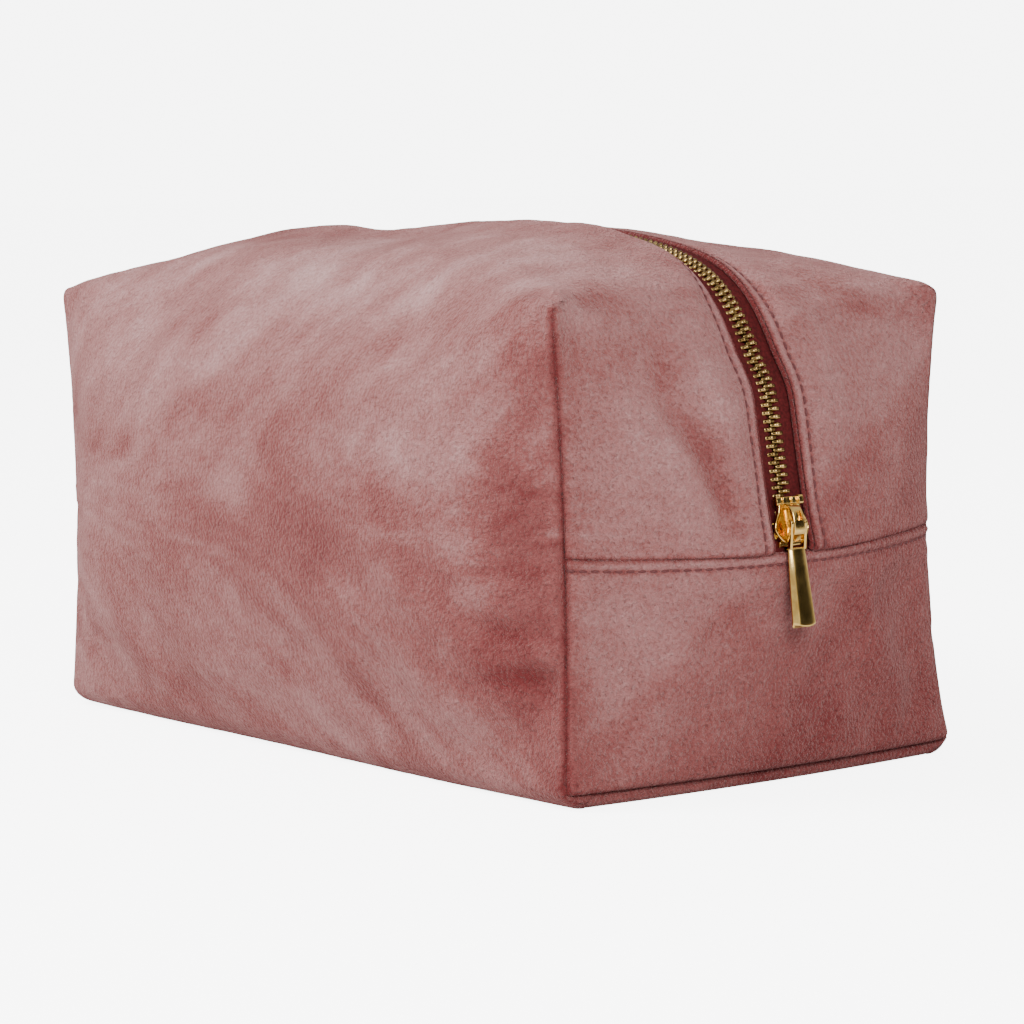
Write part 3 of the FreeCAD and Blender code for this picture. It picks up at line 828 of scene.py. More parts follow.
def tape_material():
    material, tree, shader = new_material("zip_tape")
    place = rest_place(tree)
    rib = wave(tree, place, 1100.0, 0.6, Detail=2.0, bands_direction="Y")
    fuzz = grain(tree, place, 1300.0)
    stops = ((0.25, (0.030, 0.004, 0.004)), (0.8, (0.105, 0.013, 0.014)))
    cover_surface(tree, shader, fuzz, stops, fuzz, 0.2, 0.75,
                  (rib, 0.5, 0.0002), (fuzz, 0.4, 0.0002))
    shader.inputs["Specular IOR Level"].default_value = 0.08
    return material


def thread_material():
    material, tree, shader = new_material("thread")
    strands = wave(tree, rest_place(tree), 1500.0, 0.4, bands_direction="DIAGONAL")
    stops = ((0.1, (0.040, 0.004, 0.005)), (0.9, (0.130, 0.022, 0.022)))
    cover_surface(tree, shader, strands, stops, strands, 0.15, 0.5, (strands, 0.5, 0.0001))
    return material


def gold_material(name, rough_low, rough_span, colour_low, colour_high):
    """Metal with handling marks and fine scratches."""
    material, tree, shader = new_material(name)
    handling = grain(tree, rest_place(tree), 260.0, 4.0)
    scratches = grain(tree, rest_place(tree, 1.0, (1.0, 1.0, 0.12)), 2600.0, 2.0)
    stops = ((0.3, colour_low), (0.7, colour_high))
    cover_surface(tree, shader, handling, stops, handling, rough_span, rough_low,
                  (scratches, 0.06, 0.0001), (handling, 0.08, 0.0004))
    shader.inputs["Metallic"].default_value = 1.0
    return material


VELVET = velvet_material()
LINING = lining_material()
TAPE = tape_material()
THREAD = thread_material()
GOLD = gold_material("gold_polished", 0.09, 0.14, (0.56, 0.34, 0.09), (0.80, 0.54, 0.18))
TEETH_GOLD = gold_material("gold_teeth", 0.14, 0.16, (0.15, 0.09, 0.028), (0.44, 0.29, 0.11))

SIDES = {"front": -1, "back": 1}
ENDS = {"right": 1, "left": -1}


def velvet_piece(name, sheet, fill, **looks):
    """A padded piece of velvet, dressed."""
    # Its colour attribute holds the pile's tone with painted light and shade.
    cover = piece(name, sheet.points, sheet.faces, nap=nap(sheet.points, sheet.facts))
    dress(cover, VELVET, "velvet", **looks)


def dress(obj, material, slot, body=None, flap=None, replaces=()):
    """Give a piece its material and hide the parts it stands for; a flap piece has its transform
    baked, any other hangs on its body's empty. The slot is not used.
    """
    obj.data.materials.clear()
    obj.data.materials.append(material)
    if flap:
        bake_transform(obj)
    else:
        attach(obj, body)
    if replaces:
        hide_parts(*replaces)
    return obj


# ---- velvet, front and back

def velvet_shell(name, side):
    shell = HalfShell(side)
    sheet = shell.sheet
    shell.outward = outward = sheet.normals()
    rest = sheet.points.copy()
    facts = sheet.facts
    puff = SIDE_PUFF * (0.25 + 0.75 * smoothstep(rest[:, 0], -90, 60))
    puff = np.where(facts["end"] < 2, END_PUFF, puff)
    rise = seam_groove(facts["seam"], puff) * (1 - facts["seam_end"])
    rise += edge_profile(facts["zip_edge"], rest)
    rise += HEM_LIP * away(facts["hem"], 0.9) * np.exp(-facts["hem"] / 6.0)
    held = np.exp(-np.maximum(facts["seam"], 0) / 3.0) * (1 - facts["seam_end"])
    fixed = (1 - held) * (1 - bell(facts["zip_edge"], 3.0)) * away(facts["hem"], 4.0)
    rise -= fold_depth(rest) * np.minimum(1, fixed * 1.6)
    rise += lumps(rest) * fixed
    rise = np.where(rest[:, 2] < 6, rise * smoothstep(rest[:, 2], 0.0, 6.0), rise)
    rough = HalfShell(side, detail=0.5).sheet
    held = (rough.facts["seam"] < 0.5) & (rough.facts["seam_end"] < 0.5)
    held |= (rough.facts["zip_edge"] < STITCH_OFFSET + 1) | (rough.facts["hem"] < 0.5)
    held |= rough.points[:, 2] < 3
    wrinkles = carry_over(cloth_shift("cloth_" + name, rough, held), rough.points, rest)
    # The crown is pulled smoother than the walls.
    share = fixed * (1 - 0.75 * smoothstep(rest[:, 2], 116, 130))
    sheet.points += outward * rise[:, None] + wrinkles * share[:, None]
    sheet.points[:, 2] = np.maximum(sheet.points[:, 2], 0)
    lift_base_corners(sheet)
    tuck_corner_seams(shell)
    tuck_hem(shell)
    tuck_base(shell)
    roll_zip_edge(shell)
    return shell


def lift_base_corners(sheet):
    """Round the bottom edge up to the base seam where it nears an end."""
    points = sheet.points
    reach = 3.0
    from_end = end_x_at(points[:, 1], 0) - np.abs(points[:, 0])
    t = np.clip(1 - from_end / reach, 0, 1)
    raise_to = 0.5 * BASE_SEAM_Z * (1 - np.sqrt(1 - t ** 2))
    low = np.maximum(BASE_SEAM_Z * 1.6 - points[:, 2], 0) / (BASE_SEAM_Z * 1.6)
    points[:, 2] += raise_to * low


def end_x_at(y, z):
    """How far the end stands out at a place across the bag and a height."""
    return swell(LENGTH / 2, y, z)[..., 0]


def strip_from(sheet, edge, offsets, flip, **facts):
    """Continue a piece past an edge: one new row of points for each array of offsets."""
    grid = [edge]
    for offset in offsets:
        grid.append(sheet.add(sheet.points[edge] + offset, **facts))
    sheet.quads(np.array(grid), flip)


def tuck_corner_seams(shell):
    """Turn the seam allowances inwards along the corner seams."""
    sheet = shell.sheet
    for end in (1, -1):
        inward = unit(np.array([-end * 1.0, -shell.side * 1.0, 0.0]))
        for edge, lean in ((shell.corner_seam(end), 0.12), (shell.ends[end][:-1, -1], -0.12)):
            aside = np.array([end * lean, -shell.side * lean, 0.0])
            flip = (end * shell.side > 0) == (lean > 0)
            taper = 1 - 0.85 * sheet.facts["seam_end"][edge][:, None]
            # seam=0.0 colours the turned-in allowance with the full painted seam shade.
            strip_from(sheet, edge, [(inward * reach + aside) * taper for reach in SEAM_TUCK],
                       flip, seam=0.0)


def tuck_hem(shell):
    """Turn the end halves' lower edges under the lower end panel."""
    for end in (1, -1):
        edge = shell.ends[end][0]
        inward = -shell.outward[edge]
        down = np.array([0, 0, -1.0])
        # hem=0.0 colours the turned-under edge with the full painted seam shade.
        strip_from(shell.sheet, edge, [inward * 0.9 + down * 0.2, inward * 3.4 + down * 0.8],
                   end * shell.side > 0, hem=0.0)


def tuck_base(shell):
    """Turn the front or back sheet's lower edge over the base panel's edge."""
    edge = shell.main[0]
    inward = np.array([0, -shell.side * 1.0, 0])
    strip_from(shell.sheet, edge, [inward * 0.3 + [0, 0, 0.5], inward * 2.0 + [0, 0, 0.9]],
               shell.side < 0)


def roll_zip_edge(shell):
    """Fold the velvet under along the zip."""
    sheet = shell.sheet
    edge = shell.zip_edge()
    out = path_normals(sheet.points[edge])
    inward = np.array([0, -shell.side * 1.0, 0])
    offsets = []
    for turn in np.radians([60, 30, 0, -30, -60, -90]):
        offsets.append(out * EDGE_ROLL * (math.sin(turn) - 1) + inward * EDGE_ROLL * math.cos(turn))
    for back in (1.5, 4.0):
        offsets.append(out * -2 * EDGE_ROLL - inward * back)
    # zip_edge=-1.0 colours the rolled-under velvet with the full painted shade of the zip edge.
    strip_from(sheet, edge, offsets, shell.side > 0, zip_edge=-1.0)


def path_normals(path):
    """Outward normals, in the plane of the zip, of a path that runs from +X to -X."""
    tangent = unit(np.gradient(path, axis=0) * np.array([1, 0, 1]))
    return np.stack([tangent[:, 2], 0 * tangent[:, 0], -tangent[:, 0]], -1)


shells = {}
for side_name, side in SIDES.items():
    shell = velvet_shell(side_name, side)
    shells[side_name] = shell
    flap_nodes = [layer + "_flap_" + side_name for layer in ("velvet", "padding")]
    wall_nodes = [layer + "_" + side_name for layer in ("velvet", "padding")]
    end_nodes = ["velvet_flap_%s_end_%s" % (side_name, end) for end in ENDS]
    gusset_nodes = ["velvet_gusset_%s_%s" % (end, side_name) for end in ENDS]
    velvet_piece("velvet_" + side_name + "_shown", shell.sheet, 0.7, flap=side_name + "_flap",
                 replaces=flap_nodes + wall_nodes + end_nodes + gusset_nodes)


# ---- lower end panels and base

def lower_end(end):
    """Lower end panel, from the base seam to the horizontal seam; returns it with its rows."""
    sheet = Sheet()
    across = graded(2.0, 1.6 / 63, 0.42 / 63, 0.42 / 63) - 1
    height = END_SEAM_Z - BASE_SEAM_Z
    rise = graded(height, 1.6, 0.5, 0.36)
    part = (rise / height)[:, None]
    z = BASE_SEAM_Z + rise[:, None] + 0 * across
    y = across * half_width(z)
    z = z + SEAM_SAG * (y / (DEPTH / 2)) ** 2 * smoothstep(part, 0.3, 1.0)
    grid = swell(end * LENGTH / 2, y, z)
    rows = sheet.add_grid(grid, seam=half_width(z) - np.abs(y),
                          top=(height - rise)[:, None] + 0 * y, bottom=rise[:, None] + 0 * y)
    sheet.quads(rows, flip=end < 0)
    outward = sheet.normals()
    rest = sheet.points.copy()
    facts = sheet.facts
    lift = seam_groove(facts["seam"], END_PUFF)
    lift += away(facts["top"], 0.5) * bell(facts["top"] - 1.0, 1.6)
    lift -= END_TOP_VALLEY * bell(facts["top"] - STITCH_OFFSET, 0.7)
    lift += 0.5 * bell(facts["top"] - 6.5, 3.0)
    lift += END_FOOT_PUFF * away(facts["bottom"], 0.8) * np.exp(-facts["bottom"] / 9.0)
    lift *= 1 - 0.8 * bell(facts["seam"], 1.0)
    fixed = away(facts["seam"], 3.0) * away(facts["bottom"], 3.0) * (1 - bell(facts["top"], 4.0))
    lift += (lumps(rest) - fold_depth(rest)) * fixed
    held = (facts["seam"] < 0.5) | (facts["top"] < STITCH_OFFSET + 1) | (facts["bottom"] < 0.5)
    wrinkles = cloth_shift("cloth_end", sheet, held)
    sheet.points += outward * lift[:, None] + wrinkles * fixed[:, None]
    # Seam allowances turn inwards on all four sides.
    top_edge = rows[-1]
    strip_from(sheet, top_edge, [-outward[top_edge] * 0.9 + [0, 0, 0.1],
                                 -outward[top_edge] * 3.0 - [0, 0, 1.2]], end < 0)
    bottom_edge = rows[0]
    strip_from(sheet, bottom_edge, [[-end * 0.8, 0, 0.1], [-end * 2.6, 0, 0.3]], end > 0)
    for column, side in ((0, -1), (-1, 1)):
        inward = unit(np.array([-end * 1.0, -side * 1.0, 0.0]))
        aside = np.array([-end * 0.12, side * 0.12, 0])
        strip_from(sheet, rows[:, column], [inward * reach + aside for reach in SEAM_TUCK],
                   (side > 0) == (end > 0))
    return sheet, rows, outward


lower_ends = {}
for end_name, end in ENDS.items():
    lower_ends[end_name] = lower_end(end)
    velvet_piece("velvet_end_" + end_name + "_shown", lower_ends[end_name][0], 0.7, body="bag",
                 replaces=["velvet_end_" + end_name, "padding_end_" + end_name])


# The base's ends curl up to the seam: place inwards from the end, height.
CURL = [(6.0, 0.0), (4.0, 0.02), (2.6, 0.12), (1.5, 0.45), (0.7, 1.0), (0.3, 1.7), (0.35, 2.5),
        (0.8, 3.3), (1.5, 3.9), (2.6, 4.3)]


def base_panel():
    """Flat base whose ends curl up to the base seam and whose sides follow the side sheets."""
    sheet = Sheet()
    flat_y = DEPTH / 2 - BASE_RADIUS
    edge_y = half_width(BASE_SEAM_Z)
    y = graded(2 * edge_y, 2.4, 0.7, 0.7) - edge_y
    flat = np.linspace(-1, 1, 90)
    grid = []
    for place in y:
        reach = end_x_at(place, 0)
        middle = (reach - CURL[0][0]) * flat[1:-1]
        curl = [(reach - inward, up) for inward, up in CURL]
        line = [(-x, z) for x, z in curl[::-1]] + [(x, 0.0) for x in middle] + curl
        x = np.array([x for x, z in line])
        up = np.array([z for x, z in line])
        # Past the flat, the panel follows the side sheets' rounded edge, just inside it.
        beside = max(abs(place) - flat_y, 0)
        low = BASE_RADIUS - math.sqrt(BASE_RADIUS ** 2 - beside ** 2)
        inside = 0.5 * smoothstep(beside, 0.0, 1.0) * smoothstep(reach - np.abs(x), 0.5, 2.0)
        z = low + inside + up * (1 - low / CURL[-1][1])
        grid.append(np.stack([x, swell(x, place, 0)[:, 1], z], -1))
    grid = np.array(grid)
    # These seam distances colour the rows at the curled ends with painted seam shade.
    seam = np.full(grid.shape[:2], FAR)
    for step in range(4):
        seam[:, step] = seam[:, -1 - step] = 0.6 * step
    sheet.quads(sheet.add_grid(grid, seam=seam), flip=True)
    return sheet


velvet_piece("velvet_base_shown", base_panel(), 0.4, body="bag",
             replaces=["velvet_base", "padding_base"])


# ---- zip path

class ZipPath:
    """The zip's line, at n = 0, with its outward normals; s is the length along it."""

    def __init__(self):
        shell = HalfShell(-1)
        self.line = shell.sheet.points[shell.zip_edge()] * np.array([1, 0, 1])
        self.s = arc_lengths(self.line)
        self.out = path_normals(self.line)
        self.total = self.s[-1]

    def at(self, s, out=0.0, y=0.0):
        """Points at lengths s, out from the line and y across it."""
        s = np.asarray(s, float)
        normal = unit(read_along(s, self.s, self.out))
        return (read_along(s, self.s, self.line) + normal * np.asarray(out, float)[..., None]
                + np.stack([0 * s, 0 * s + y, 0 * s], -1))


zip_path = ZipPath()


def zip_tape(side):
    """Woven strip under the velvet edge with a cord along its inner edge."""
    sheet = Sheet()
    s = np.arange(0.0, zip_path.total, 1.2)
    section = [(0.75, -0.55), (1.1, -0.3), (1.6, -0.35), (2.3, 0.0), (3.4, 0.0), (4.6, 0.03),
               (5.8, 0.0), (7.5, 0.0), (9.5, 0.0), (9.5, -TAPE_THICKNESS),
               (5.8, -TAPE_THICKNESS), (2.3, -TAPE_THICKNESS), (1.5, -0.9), (0.9, -0.9)]
    rows = sheet.add_grid(np.stack([
        zip_path.at(s, 0 * s + TAPE_FACE + out, side * y) for y, out in section]))
    sheet.quads(np.concatenate([rows, rows[:1]]), flip=side < 0)
    return sheet


# Sections of a tooth, from its tail over the tape to its head between the other row's teeth:
# place across the zip, half length along it, half height.
TOOTH = [(3.00, 0.30, 0.32), (2.88, 0.48, 0.48), (2.50, 0.60, 0.54), (2.05, 0.56, 0.54),
         (1.85, 0.48, 0.62), (1.62, 0.62, 1.05), (1.25, 0.74, 1.36), (0.88, 0.62, 1.05),
         (0.64, 0.48, 0.64), (0.20, 0.48, 0.58), (-0.30, 0.46, 0.54), (-0.65, 0.40, 0.46),
         (-0.85, 0.20, 0.28)]
TOOTH_SIDES = 12


def zip_teeth(side):
    """All the teeth of one row; the two rows stand half a pitch apart."""
    turns = (np.arange(TOOTH_SIDES) + 0.5) * 2 * math.pi / TOOTH_SIDES
    ring_along = np.sign(np.cos(turns)) * np.abs(np.cos(turns)) ** 0.7
    ring_out = np.sign(np.sin(turns)) * np.abs(np.sin(turns)) ** 0.8
    along = np.concatenate([half * ring_along for y, half, high in TOOTH])
    out = np.concatenate([high * ring_out for y, half, high in TOOTH])
    across = np.repeat([y for y, half, high in TOOTH], TOOTH_SIDES)
    first = TEETH_START + (0.0 if side > 0 else TOOTH_PITCH / 2)
    centre = TAPE_FACE - TAPE_THICKNESS / 2
    points = []
    faces = []
    for s in np.arange(first, zip_path.total - TEETH_START, TOOTH_PITCH):
        faces.extend(loft_faces(len(points), len(TOOTH), TOOTH_SIDES, flip=side < 0))
        points.extend(zip_path.at(s + along, centre + out, side * across))
    return points, faces


for side_name, side in SIDES.items():
    sheet = zip_tape(side)
    tape = piece("zip_tape_" + side_name + "_shown", sheet.points, sheet.faces)
    teeth = piece("zip_teeth_" + side_name + "_shown", *zip_teeth(side))
    for part, obj, material, slot in (("zip_tape_", tape, TAPE, "zip_tape"),
                                      ("zip_teeth_", teeth, TEETH_GOLD, "gold_metal")):
        nodes = [part + end + "_" + side_name for end in (*ENDS, "top")]
        dress(obj, material, slot, flap=side_name + "_flap", replaces=nodes)


# ---- topstitching

def stitch_places(points, normals):
    """Middles, outward normals and directions of the stitches along a line of points."""
    lengths = arc_lengths(points)
    places = np.arange(STITCH_PITCH / 2, lengths[-1], STITCH_PITCH)
    tangents = np.gradient(points, lengths, axis=0)
    return (read_along(places, lengths, points), unit(read_along(places, lengths, normals)),
            unit(read_along(places, lengths, tangents)))


# Sections of a stitch: place along it, height, thickness, as shares of its size.
STITCH = [(-0.5, -0.50, 0.5), (-0.42, -0.05, 0.9), (-0.2, 0.18, 1.0), (0.0, 0.22, 1.0),
          (0.2, 0.18, 1.0), (0.42, -0.05, 0.9), (0.5, -0.50, 0.5)]


def stitches(line, normals):
    """A row of thread stitches that dip into the fabric at both ends."""
    points = []
    faces = []
    for centre, out, ahead in zip(*stitch_places(line, normals)):
        across = np.cross(ahead, out)
        faces.extend(loft_faces(len(points), len(STITCH), THREAD_SIDES, caps=False))
        for share, height, thick in STITCH:
            hub = centre + ahead * share * STITCH_LENGTH + out * height
            for k in range(THREAD_SIDES):
                turn = 2 * math.pi * k / THREAD_SIDES
                ray = math.cos(turn) * across + math.sin(turn) * out
                points.append(hub + THREAD_RADIUS * thick * ray)
    return points, faces


for side_name, side in SIDES.items():
    shell = shells[side_name]
    distance = shell.across * (DEPTH / 2 - TOP_RADIUS_END - EDGE_Y)
    nearest = int(np.argmin(np.abs(distance - STITCH_OFFSET)))
    column = len(distance) - 1 - nearest
    line = np.concatenate([shell.ends[1][:-1, column], shell.main[shell.seam_rows + nearest][::-1],
                           shell.ends[-1][:-1, column][::-1]])
    thread = piece("stitching_" + side_name,
                   *stitches(shell.sheet.points[line], shell.outward[line]))
    dress(thread, THREAD, "velvet", flap=side_name + "_flap")

for end_name, end in ENDS.items():
    sheet, rows, outward = lower_ends[end_name]
    top = sheet.facts["top"][rows[:, 0]]
    row = rows[int(np.argmin(np.abs(top - STITCH_OFFSET)))]
    thread = piece("stitching_end_" + end_name, *stitches(sheet.points[row], outward[row]))
    dress(thread, THREAD, "velvet", body="bag")


# ---- lining

# How far inside the velvet's seams the lining lies.
LINING_INSET = 4.2

for side_name, side in SIDES.items():
    sheet = HalfShell(side, inset=LINING_INSET, detail=0.55).sheet
    uneven = 0.5 * lumps(sheet.points) * (sheet.points[:, 2] > 6)
    sheet.points += sheet.normals() * uneven[:, None]
    inwards = [face[::-1] for face in sheet.faces]
    lining = piece("lining_" + side_name + "_shown", sheet.points, inwards)
    dress(lining, LINING, "lining", flap=side_name + "_flap",
          replaces=["lining_" + side_name, "lining_flap_" + side_name])


def plain_lining(name, grid, flip):
    """A lining piece without folds, from a grid of points."""
    sheet = Sheet()
    sheet.quads(sheet.add_grid(grid), flip)
    lining = piece(name + "_shown", sheet.points, sheet.faces)
    dress(lining, LINING, "lining", body="bag", replaces=[name])


lining_end = LENGTH / 2 - LINING_INSET
across = np.linspace(-1, 1, 36)[None, :]
z = np.linspace(LINING_INSET, END_SEAM_Z + 1.5, 22)[:, None]
for end_name, end in ENDS.items():
    grid = swell(end * lining_end, across * half_width(z, LINING_INSET), z)
    plain_lining("lining_end_" + end_name, grid, end > 0)

flat_y = DEPTH / 2 - BASE_RADIUS
grid = swell(np.linspace(-1, 1, 60)[None, :] * lining_end,
             np.linspace(-flat_y, flat_y, 30)[:, None], LINING_INSET)
plain_lining("lining_base", grid, False)


# ---- slider

def on_track(s, n, y):
    """Place on the zip's straight stretch: s up along it, n outwards, y across."""
    return TRACK_FOOT + TRACK_UP * s + TRACK_OUT * n + np.array([0, y, 0])


LEAN = math.radians(9.0)


def on_puller(a, b, y):
    """Place on the hanging puller: a down from its pivot, b outwards, y across."""
    down = np.array([math.sin(LEAN), 0, -math.cos(LEAN)])
    out = np.array([math.cos(LEAN), 0, math.sin(LEAN)])
    return PIVOT + down * a + out * b + np.array([0, y, 0])


class Solid:
    """Points and faces of a piece made of several closed lofts."""

    def __init__(self, place):
        self.place = place
        self.points = []
        self.faces = []

    def loft(self, rings):
        """Skin closed rings of equal length and cap both ends."""
        self.faces.extend(loft_faces(len(self.points), len(rings), len(rings[0])))
        for ring in rings:
            self.points.extend(self.place(*spot) for spot in ring)

    def across(self, profile, low, high):
        """Stretch a profile of two numbers from y = low to high."""
        self.loft([[(a, b, low) for a, b in profile], [(a, b, high) for a, b in profile]])

    def both_sides(self, profile, near, far):
        """Stretch a profile from y = near to far, once on each side of the middle."""
        self.across(profile, -far, -near)
        self.across(profile, near, far)

    def plate(self, outline, levels):
        """Stack an outline of (s, half width), drawn in by an inset at each (n, inset)."""
        middle = (outline[0][0] + outline[-1][0]) / 2
        half = (outline[-1][0] - outline[0][0]) / 2
        rings = []
        for n, inset in levels:
            right = [(middle + (s - middle) * (1 - inset / half), n, wide - inset)
                     for s, wide in outline]
            left = [(s, n, -y) for s, n, y in right[::-1]]
            rings.append(right + left)
        self.loft(rings)

    def make(self, name, bevel, angle=28):
        obj = piece(name, self.points, self.faces, smooth=False)
        tidy = bmesh.new()
        tidy.from_mesh(obj.data)
        bmesh.ops.recalc_face_normals(tidy, faces=tidy.faces)
        tidy.to_mesh(obj.data)
        tidy.free()
        edge = obj.modifiers.new("edges", "BEVEL")
        edge.width = bevel * MM
        edge.segments = 3
        edge.limit_method = "ANGLE"
        edge.angle_limit = math.radians(angle)
        edge.harden_normals = False
        settle(obj)
        return obj


def settle(obj):
    """Turn the piece's modifiers into plain mesh and smooth it by angle."""
    graph = bpy.context.evaluated_depsgraph_get()
    mesh = bpy.data.meshes.new_from_object(obj.evaluated_get(graph))
    obj.modifiers.clear()
    obj.data = mesh
    mesh.polygons.foreach_set("use_smooth", [True] * len(mesh.polygons))
    mesh.set_sharp_from_angle(angle=math.radians(32))


def smooth_outline(outline, count=40):
    """Points evenly spread on a curve through an outline of (s, half width)."""
    outline = np.array(outline, float)
    lengths = arc_lengths(outline)
    even = np.linspace(0, lengths[-1], count)
    curve = read_along(even, lengths, outline)
    for repeat in range(6):
        curve[1:-1] = (curve[:-2] + 2 * curve[1:-1] + curve[2:]) / 4
    return [tuple(spot) for spot in curve]


PLATE_OUTLINE = [(2.4, 2.6), (2.6, 3.3), (3.6, 4.3), (4.8, 5.2), (5.9, 5.65), (7.0, 5.45),
                 (8.4, 4.75), (9.8, 3.95), (11.2, 3.45), (12.0, 3.4)]
LOWER_OUTLINE = [(1.2, 3.0), (2.4, 3.6), (4.8, 5.0), (6.0, 5.4), (8.4, 4.6), (10.4, 3.6),
                 (11.8, 3.0)]

body = Solid(on_track)
outline = smooth_outline(PLATE_OUTLINE)
body.plate(outline, [(-0.1, 0.1), (0.1, 0.0), (0.85, 0.0), (1.0, 0.12), (1.0, 0.36), (0.8, 0.5),
                     (0.55, 0.85), (0.45, 1.4)])
body.plate(smooth_outline(LOWER_OUTLINE), [(-4.25, 0.2), (-4.1, 0.0), (-3.35, 0.0)])
# Collar: a bar with a lug at each end and a notch between.
body.across([(11.9, 0.0), (13.7, 0.0), (13.7, 0.85), (11.9, 0.85)], -3.2, 3.2)
body.both_sides([(11.75, -0.1), (13.95, -0.1), (13.95, 1.2), (13.5, 1.45), (12.1, 1.45),
                 (11.75, 1.2)], 3.0, 4.35)
body.both_sides([(11.95, 0.7), (13.6, 0.7), (13.6, 1.25), (11.95, 1.25)], 0.75, 2.1)
# Flanges along the plates' sides, with the tape's gap between them.
body.both_sides([(3.6, -0.1), (3.6, -1.25), (7.6, -1.25), (7.6, -0.1)], 4.5, 5.2)
body.both_sides([(1.9, -3.4), (1.9, -2.2), (7.6, -2.2), (7.6, -3.4)], 4.3, 5.0)
# Wedge that joins the plates, and the step under the plate's lower end.
body.loft([[(8.4, n, -0.3), (8.4, n, 0.3), (13.3, n, 1.0), (13.3, n, -1.0)]
           for n in (-3.4, 0.1)])
body.across([(1.5, -3.4), (1.5, -0.9), (1.9, -0.6), (2.9, -0.6), (2.9, -3.4)], -3.4, 3.4)
slider_body = body.make("slider_body_shown", 0.14)
dress(slider_body, GOLD, "gold_metal", body="slider", replaces=["slider_body"])

CROWN_PROFILE = [(11.75, 0.5), (11.75, 1.5), (11.3, 2.5), (10.5, 3.25), (9.4, 3.7), (7.4, 3.88),
                 (5.2, 3.9), (4.4, 3.65), (3.95, 3.1), (3.8, 2.3), (3.8, 0.4)]
crown = Solid(on_track)
crown.across(CROWN_PROFILE, -1.7, 1.7)
slider_crown = crown.make("slider_crown_shown", 0.28, angle=60)
window = Solid(on_track)
window.across([(7.5, 2.9), (7.5, 4.4), (9.9, 4.4), (9.9, 2.9)], -0.75, 1.05)
cutter = window.make("window", 0.05)
cut = slider_crown.modifiers.new("window", "BOOLEAN")
cut.object = cutter
cut.solver = "EXACT"
settle(slider_crown)
bpy.data.objects.remove(cutter)
dress(slider_crown, GOLD, "gold_metal", body="slider", replaces=["slider_crown"])

lock = Solid(on_track)
lock.across([(7.0, 2.5), (10.2, 2.5), (10.2, 2.95), (8.7, 3.2), (7.0, 2.95)], -0.6, 0.6)
slider_lock = lock.make("slider_lock_shown", 0.08)
dress(slider_lock, GOLD, "gold_metal", body="slider", replaces=["slider_lock"])

# Puller: a tapered bar, flat behind and rounded in front, on two arms with pins.
BAR_TOP = 5.9
BAR_END = 25.6
puller = Solid(on_puller)
rings = []
for share in (0.0, 0.02, 0.3, 0.6, 0.94, 0.985, 1.0):
    half = 2.8 + 0.75 * share
    front = -0.3 + 0.45 * share
    back = -1.6 - 0.45 * share
    tuck = 0.25 if share in (0.0, 1.0) else 0.0
    a = BAR_TOP + (BAR_END - BAR_TOP) * share
    edge = half - tuck
    shoulder = a - 0.75 * share ** 12
    ring = [(a, back + tuck, edge), (a, back + tuck, -edge), (shoulder, back + 0.5, -edge)]
    for turn in np.linspace(-1, 1, 13):
        bend = 0.45 * share ** 12 * turn ** 2
        ring.append((a - bend, front - tuck - 0.28 * turn ** 2, 0.74 * edge * turn))
    rings.append(ring + [(shoulder, back + 0.5, edge)])
puller.loft(rings)


def arc_points(radius, start, end, count):
    """Points on an arc about the pivot; the angles are in degrees."""
    turns = np.radians(np.linspace(start, end, count))
    return [(radius * math.cos(turn), radius * math.sin(turn)) for turn in turns]


arm = arc_points(0.95, 75, 285, 12) + [(BAR_TOP + 0.6, -1.7), (BAR_TOP + 0.6, -0.55)]
puller.both_sides(arm, 1.85, 2.6)
puller.both_sides(arc_points(0.6, 0, 330, 12), 1.5, 2.0)
shown_puller = puller.make("puller_shown", 0.12)
dress(shown_puller, GOLD, "gold_metal", body="puller", replaces=["puller"])

for name in ("zip_top_stops", "zip_bottom_stop"):
    part = frame["nodes"][name]
    part.data.materials.clear()
    part.data.materials.append(GOLD)


# ---- floor, light and camera

TO_CAMERA_GLOW = 6.0
ROOM_LIGHT = 0.85


def floor_material():
    material, tree, shader = new_material("floor")
    shader.inputs["Base Color"].default_value = (0.9, 0.9, 0.9, 1)
    shader.inputs["Roughness"].default_value = 0.9
    path = node(tree, "ShaderNodeLightPath")
    glow = arithmetic(tree, "MULTIPLY", path.outputs["Is Camera Ray"], TO_CAMERA_GLOW)
    shader.inputs["Emission Color"].default_value = (1, 1, 1, 1)
    tree.links.new(glow, shader.inputs["Emission Strength"])
    return material


bpy.ops.mesh.primitive_plane_add(size=40.0)
floor = bpy.context.object
floor.name = "floor"
floor.data.materials.append(floor_material())


def area_light(name, place, target, size, power, colour=(1, 1, 1)):
    data = bpy.data.lights.new(name, "AREA")
    data.shape = "RECTANGLE"
    data.size, data.size_y = size
    data.energy = power
    data.color = colour
    lamp = bpy.data.objects.new(name, data)
    lamp.location = place
    lamp.rotation_euler = (Vector(target) - Vector(place)).to_track_quat("-Z", "Y").to_euler()
    bpy.context.scene.collection.objects.link(lamp)


area_light("key", (-0.45, -0.75, 0.85), (0, 0, 0.07), (0.5, 0.5), 17.5)
area_light("fill", (1.0, -0.45, 0.55), (0.10, 0, 0.07), (0.4, 0.4), 12.5)


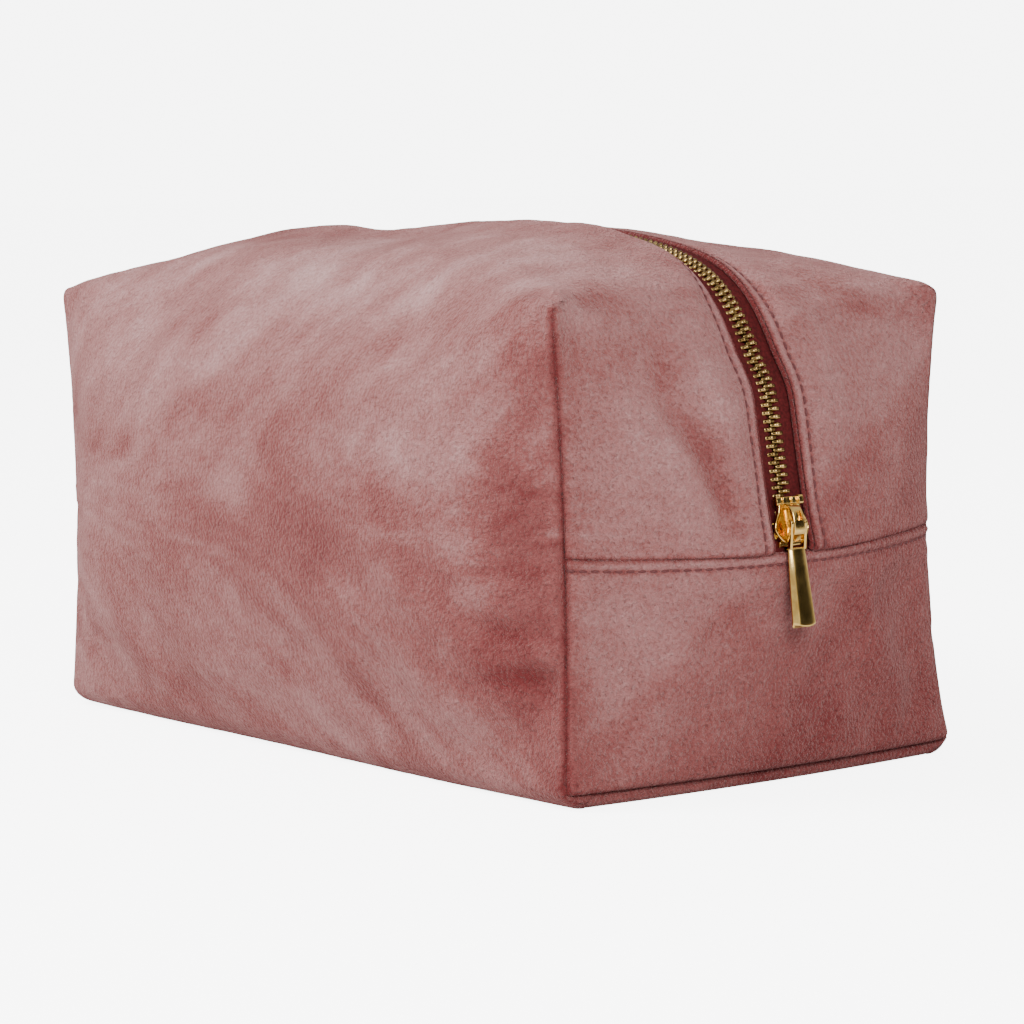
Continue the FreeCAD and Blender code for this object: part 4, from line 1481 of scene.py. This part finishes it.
def room_light():
    """Even white studio light with a dark flag at the right, which the metal mirrors."""
    world = bpy.data.worlds.new("studio")
    bpy.context.scene.world = world
    world.use_nodes = True
    tree = world.node_tree
    background = tree.nodes["Background"]
    place = node(tree, "ShaderNodeTexCoord")
    facing = node(tree, "ShaderNodeVectorMath", operation="DOT_PRODUCT")
    tree.links.new(place.outputs["Generated"], facing.inputs[0])
    facing.inputs[1].default_value = (0.80, 0.59, 0.05)
    dark = node(tree, "ShaderNodeMapRange", From_Min=0.80, From_Max=0.97, To_Min=ROOM_LIGHT,
                To_Max=0.04, interpolation_type="SMOOTHSTEP")
    tree.links.new(facing.outputs["Value"], dark.inputs["Value"])
    path = node(tree, "ShaderNodeLightPath")
    seen = node(tree, "ShaderNodeMix")
    tree.links.new(path.outputs["Is Camera Ray"], seen.inputs["Factor"])
    tree.links.new(dark.outputs["Result"], seen.inputs["A"])
    seen.inputs["B"].default_value = TO_CAMERA_GLOW + ROOM_LIGHT
    tree.links.new(seen.outputs["Result"], background.inputs["Strength"])
    background.inputs["Color"].default_value = (1, 1, 1, 1)


room_light()

# The camera stands to the right of the front, a little above the bag.
CAMERA_TURN = math.radians(52.76)
CAMERA_RAISE = math.radians(5.6355)
CAMERA_ROLL = math.radians(-0.8627)
CAMERA_DISTANCE = 926.5
CAMERA_TARGET = np.array([13.13, 0.0, 60.61])
SENSOR = 36.0
FRAME_PIXELS = 1024
FOCAL_PIXELS = 3400

toward = np.array([math.sin(CAMERA_TURN) * math.cos(CAMERA_RAISE),
                   -math.cos(CAMERA_TURN) * math.cos(CAMERA_RAISE), math.sin(CAMERA_RAISE)])
camera_data = bpy.data.cameras.new("camera")
camera_data.sensor_width = SENSOR
camera_data.lens = FOCAL_PIXELS / FRAME_PIXELS * SENSOR
camera = bpy.data.objects.new("camera", camera_data)
camera.location = Vector((CAMERA_TARGET + toward * CAMERA_DISTANCE) * MM)
look = Vector(-toward).to_track_quat("-Z", "Y").to_matrix().to_4x4()
camera.matrix_world = (Matrix.Translation(camera.location) @ look
                       @ Matrix.Rotation(CAMERA_ROLL, 4, "Z"))
bpy.context.scene.collection.objects.link(camera)
bpy.context.scene.camera = camera
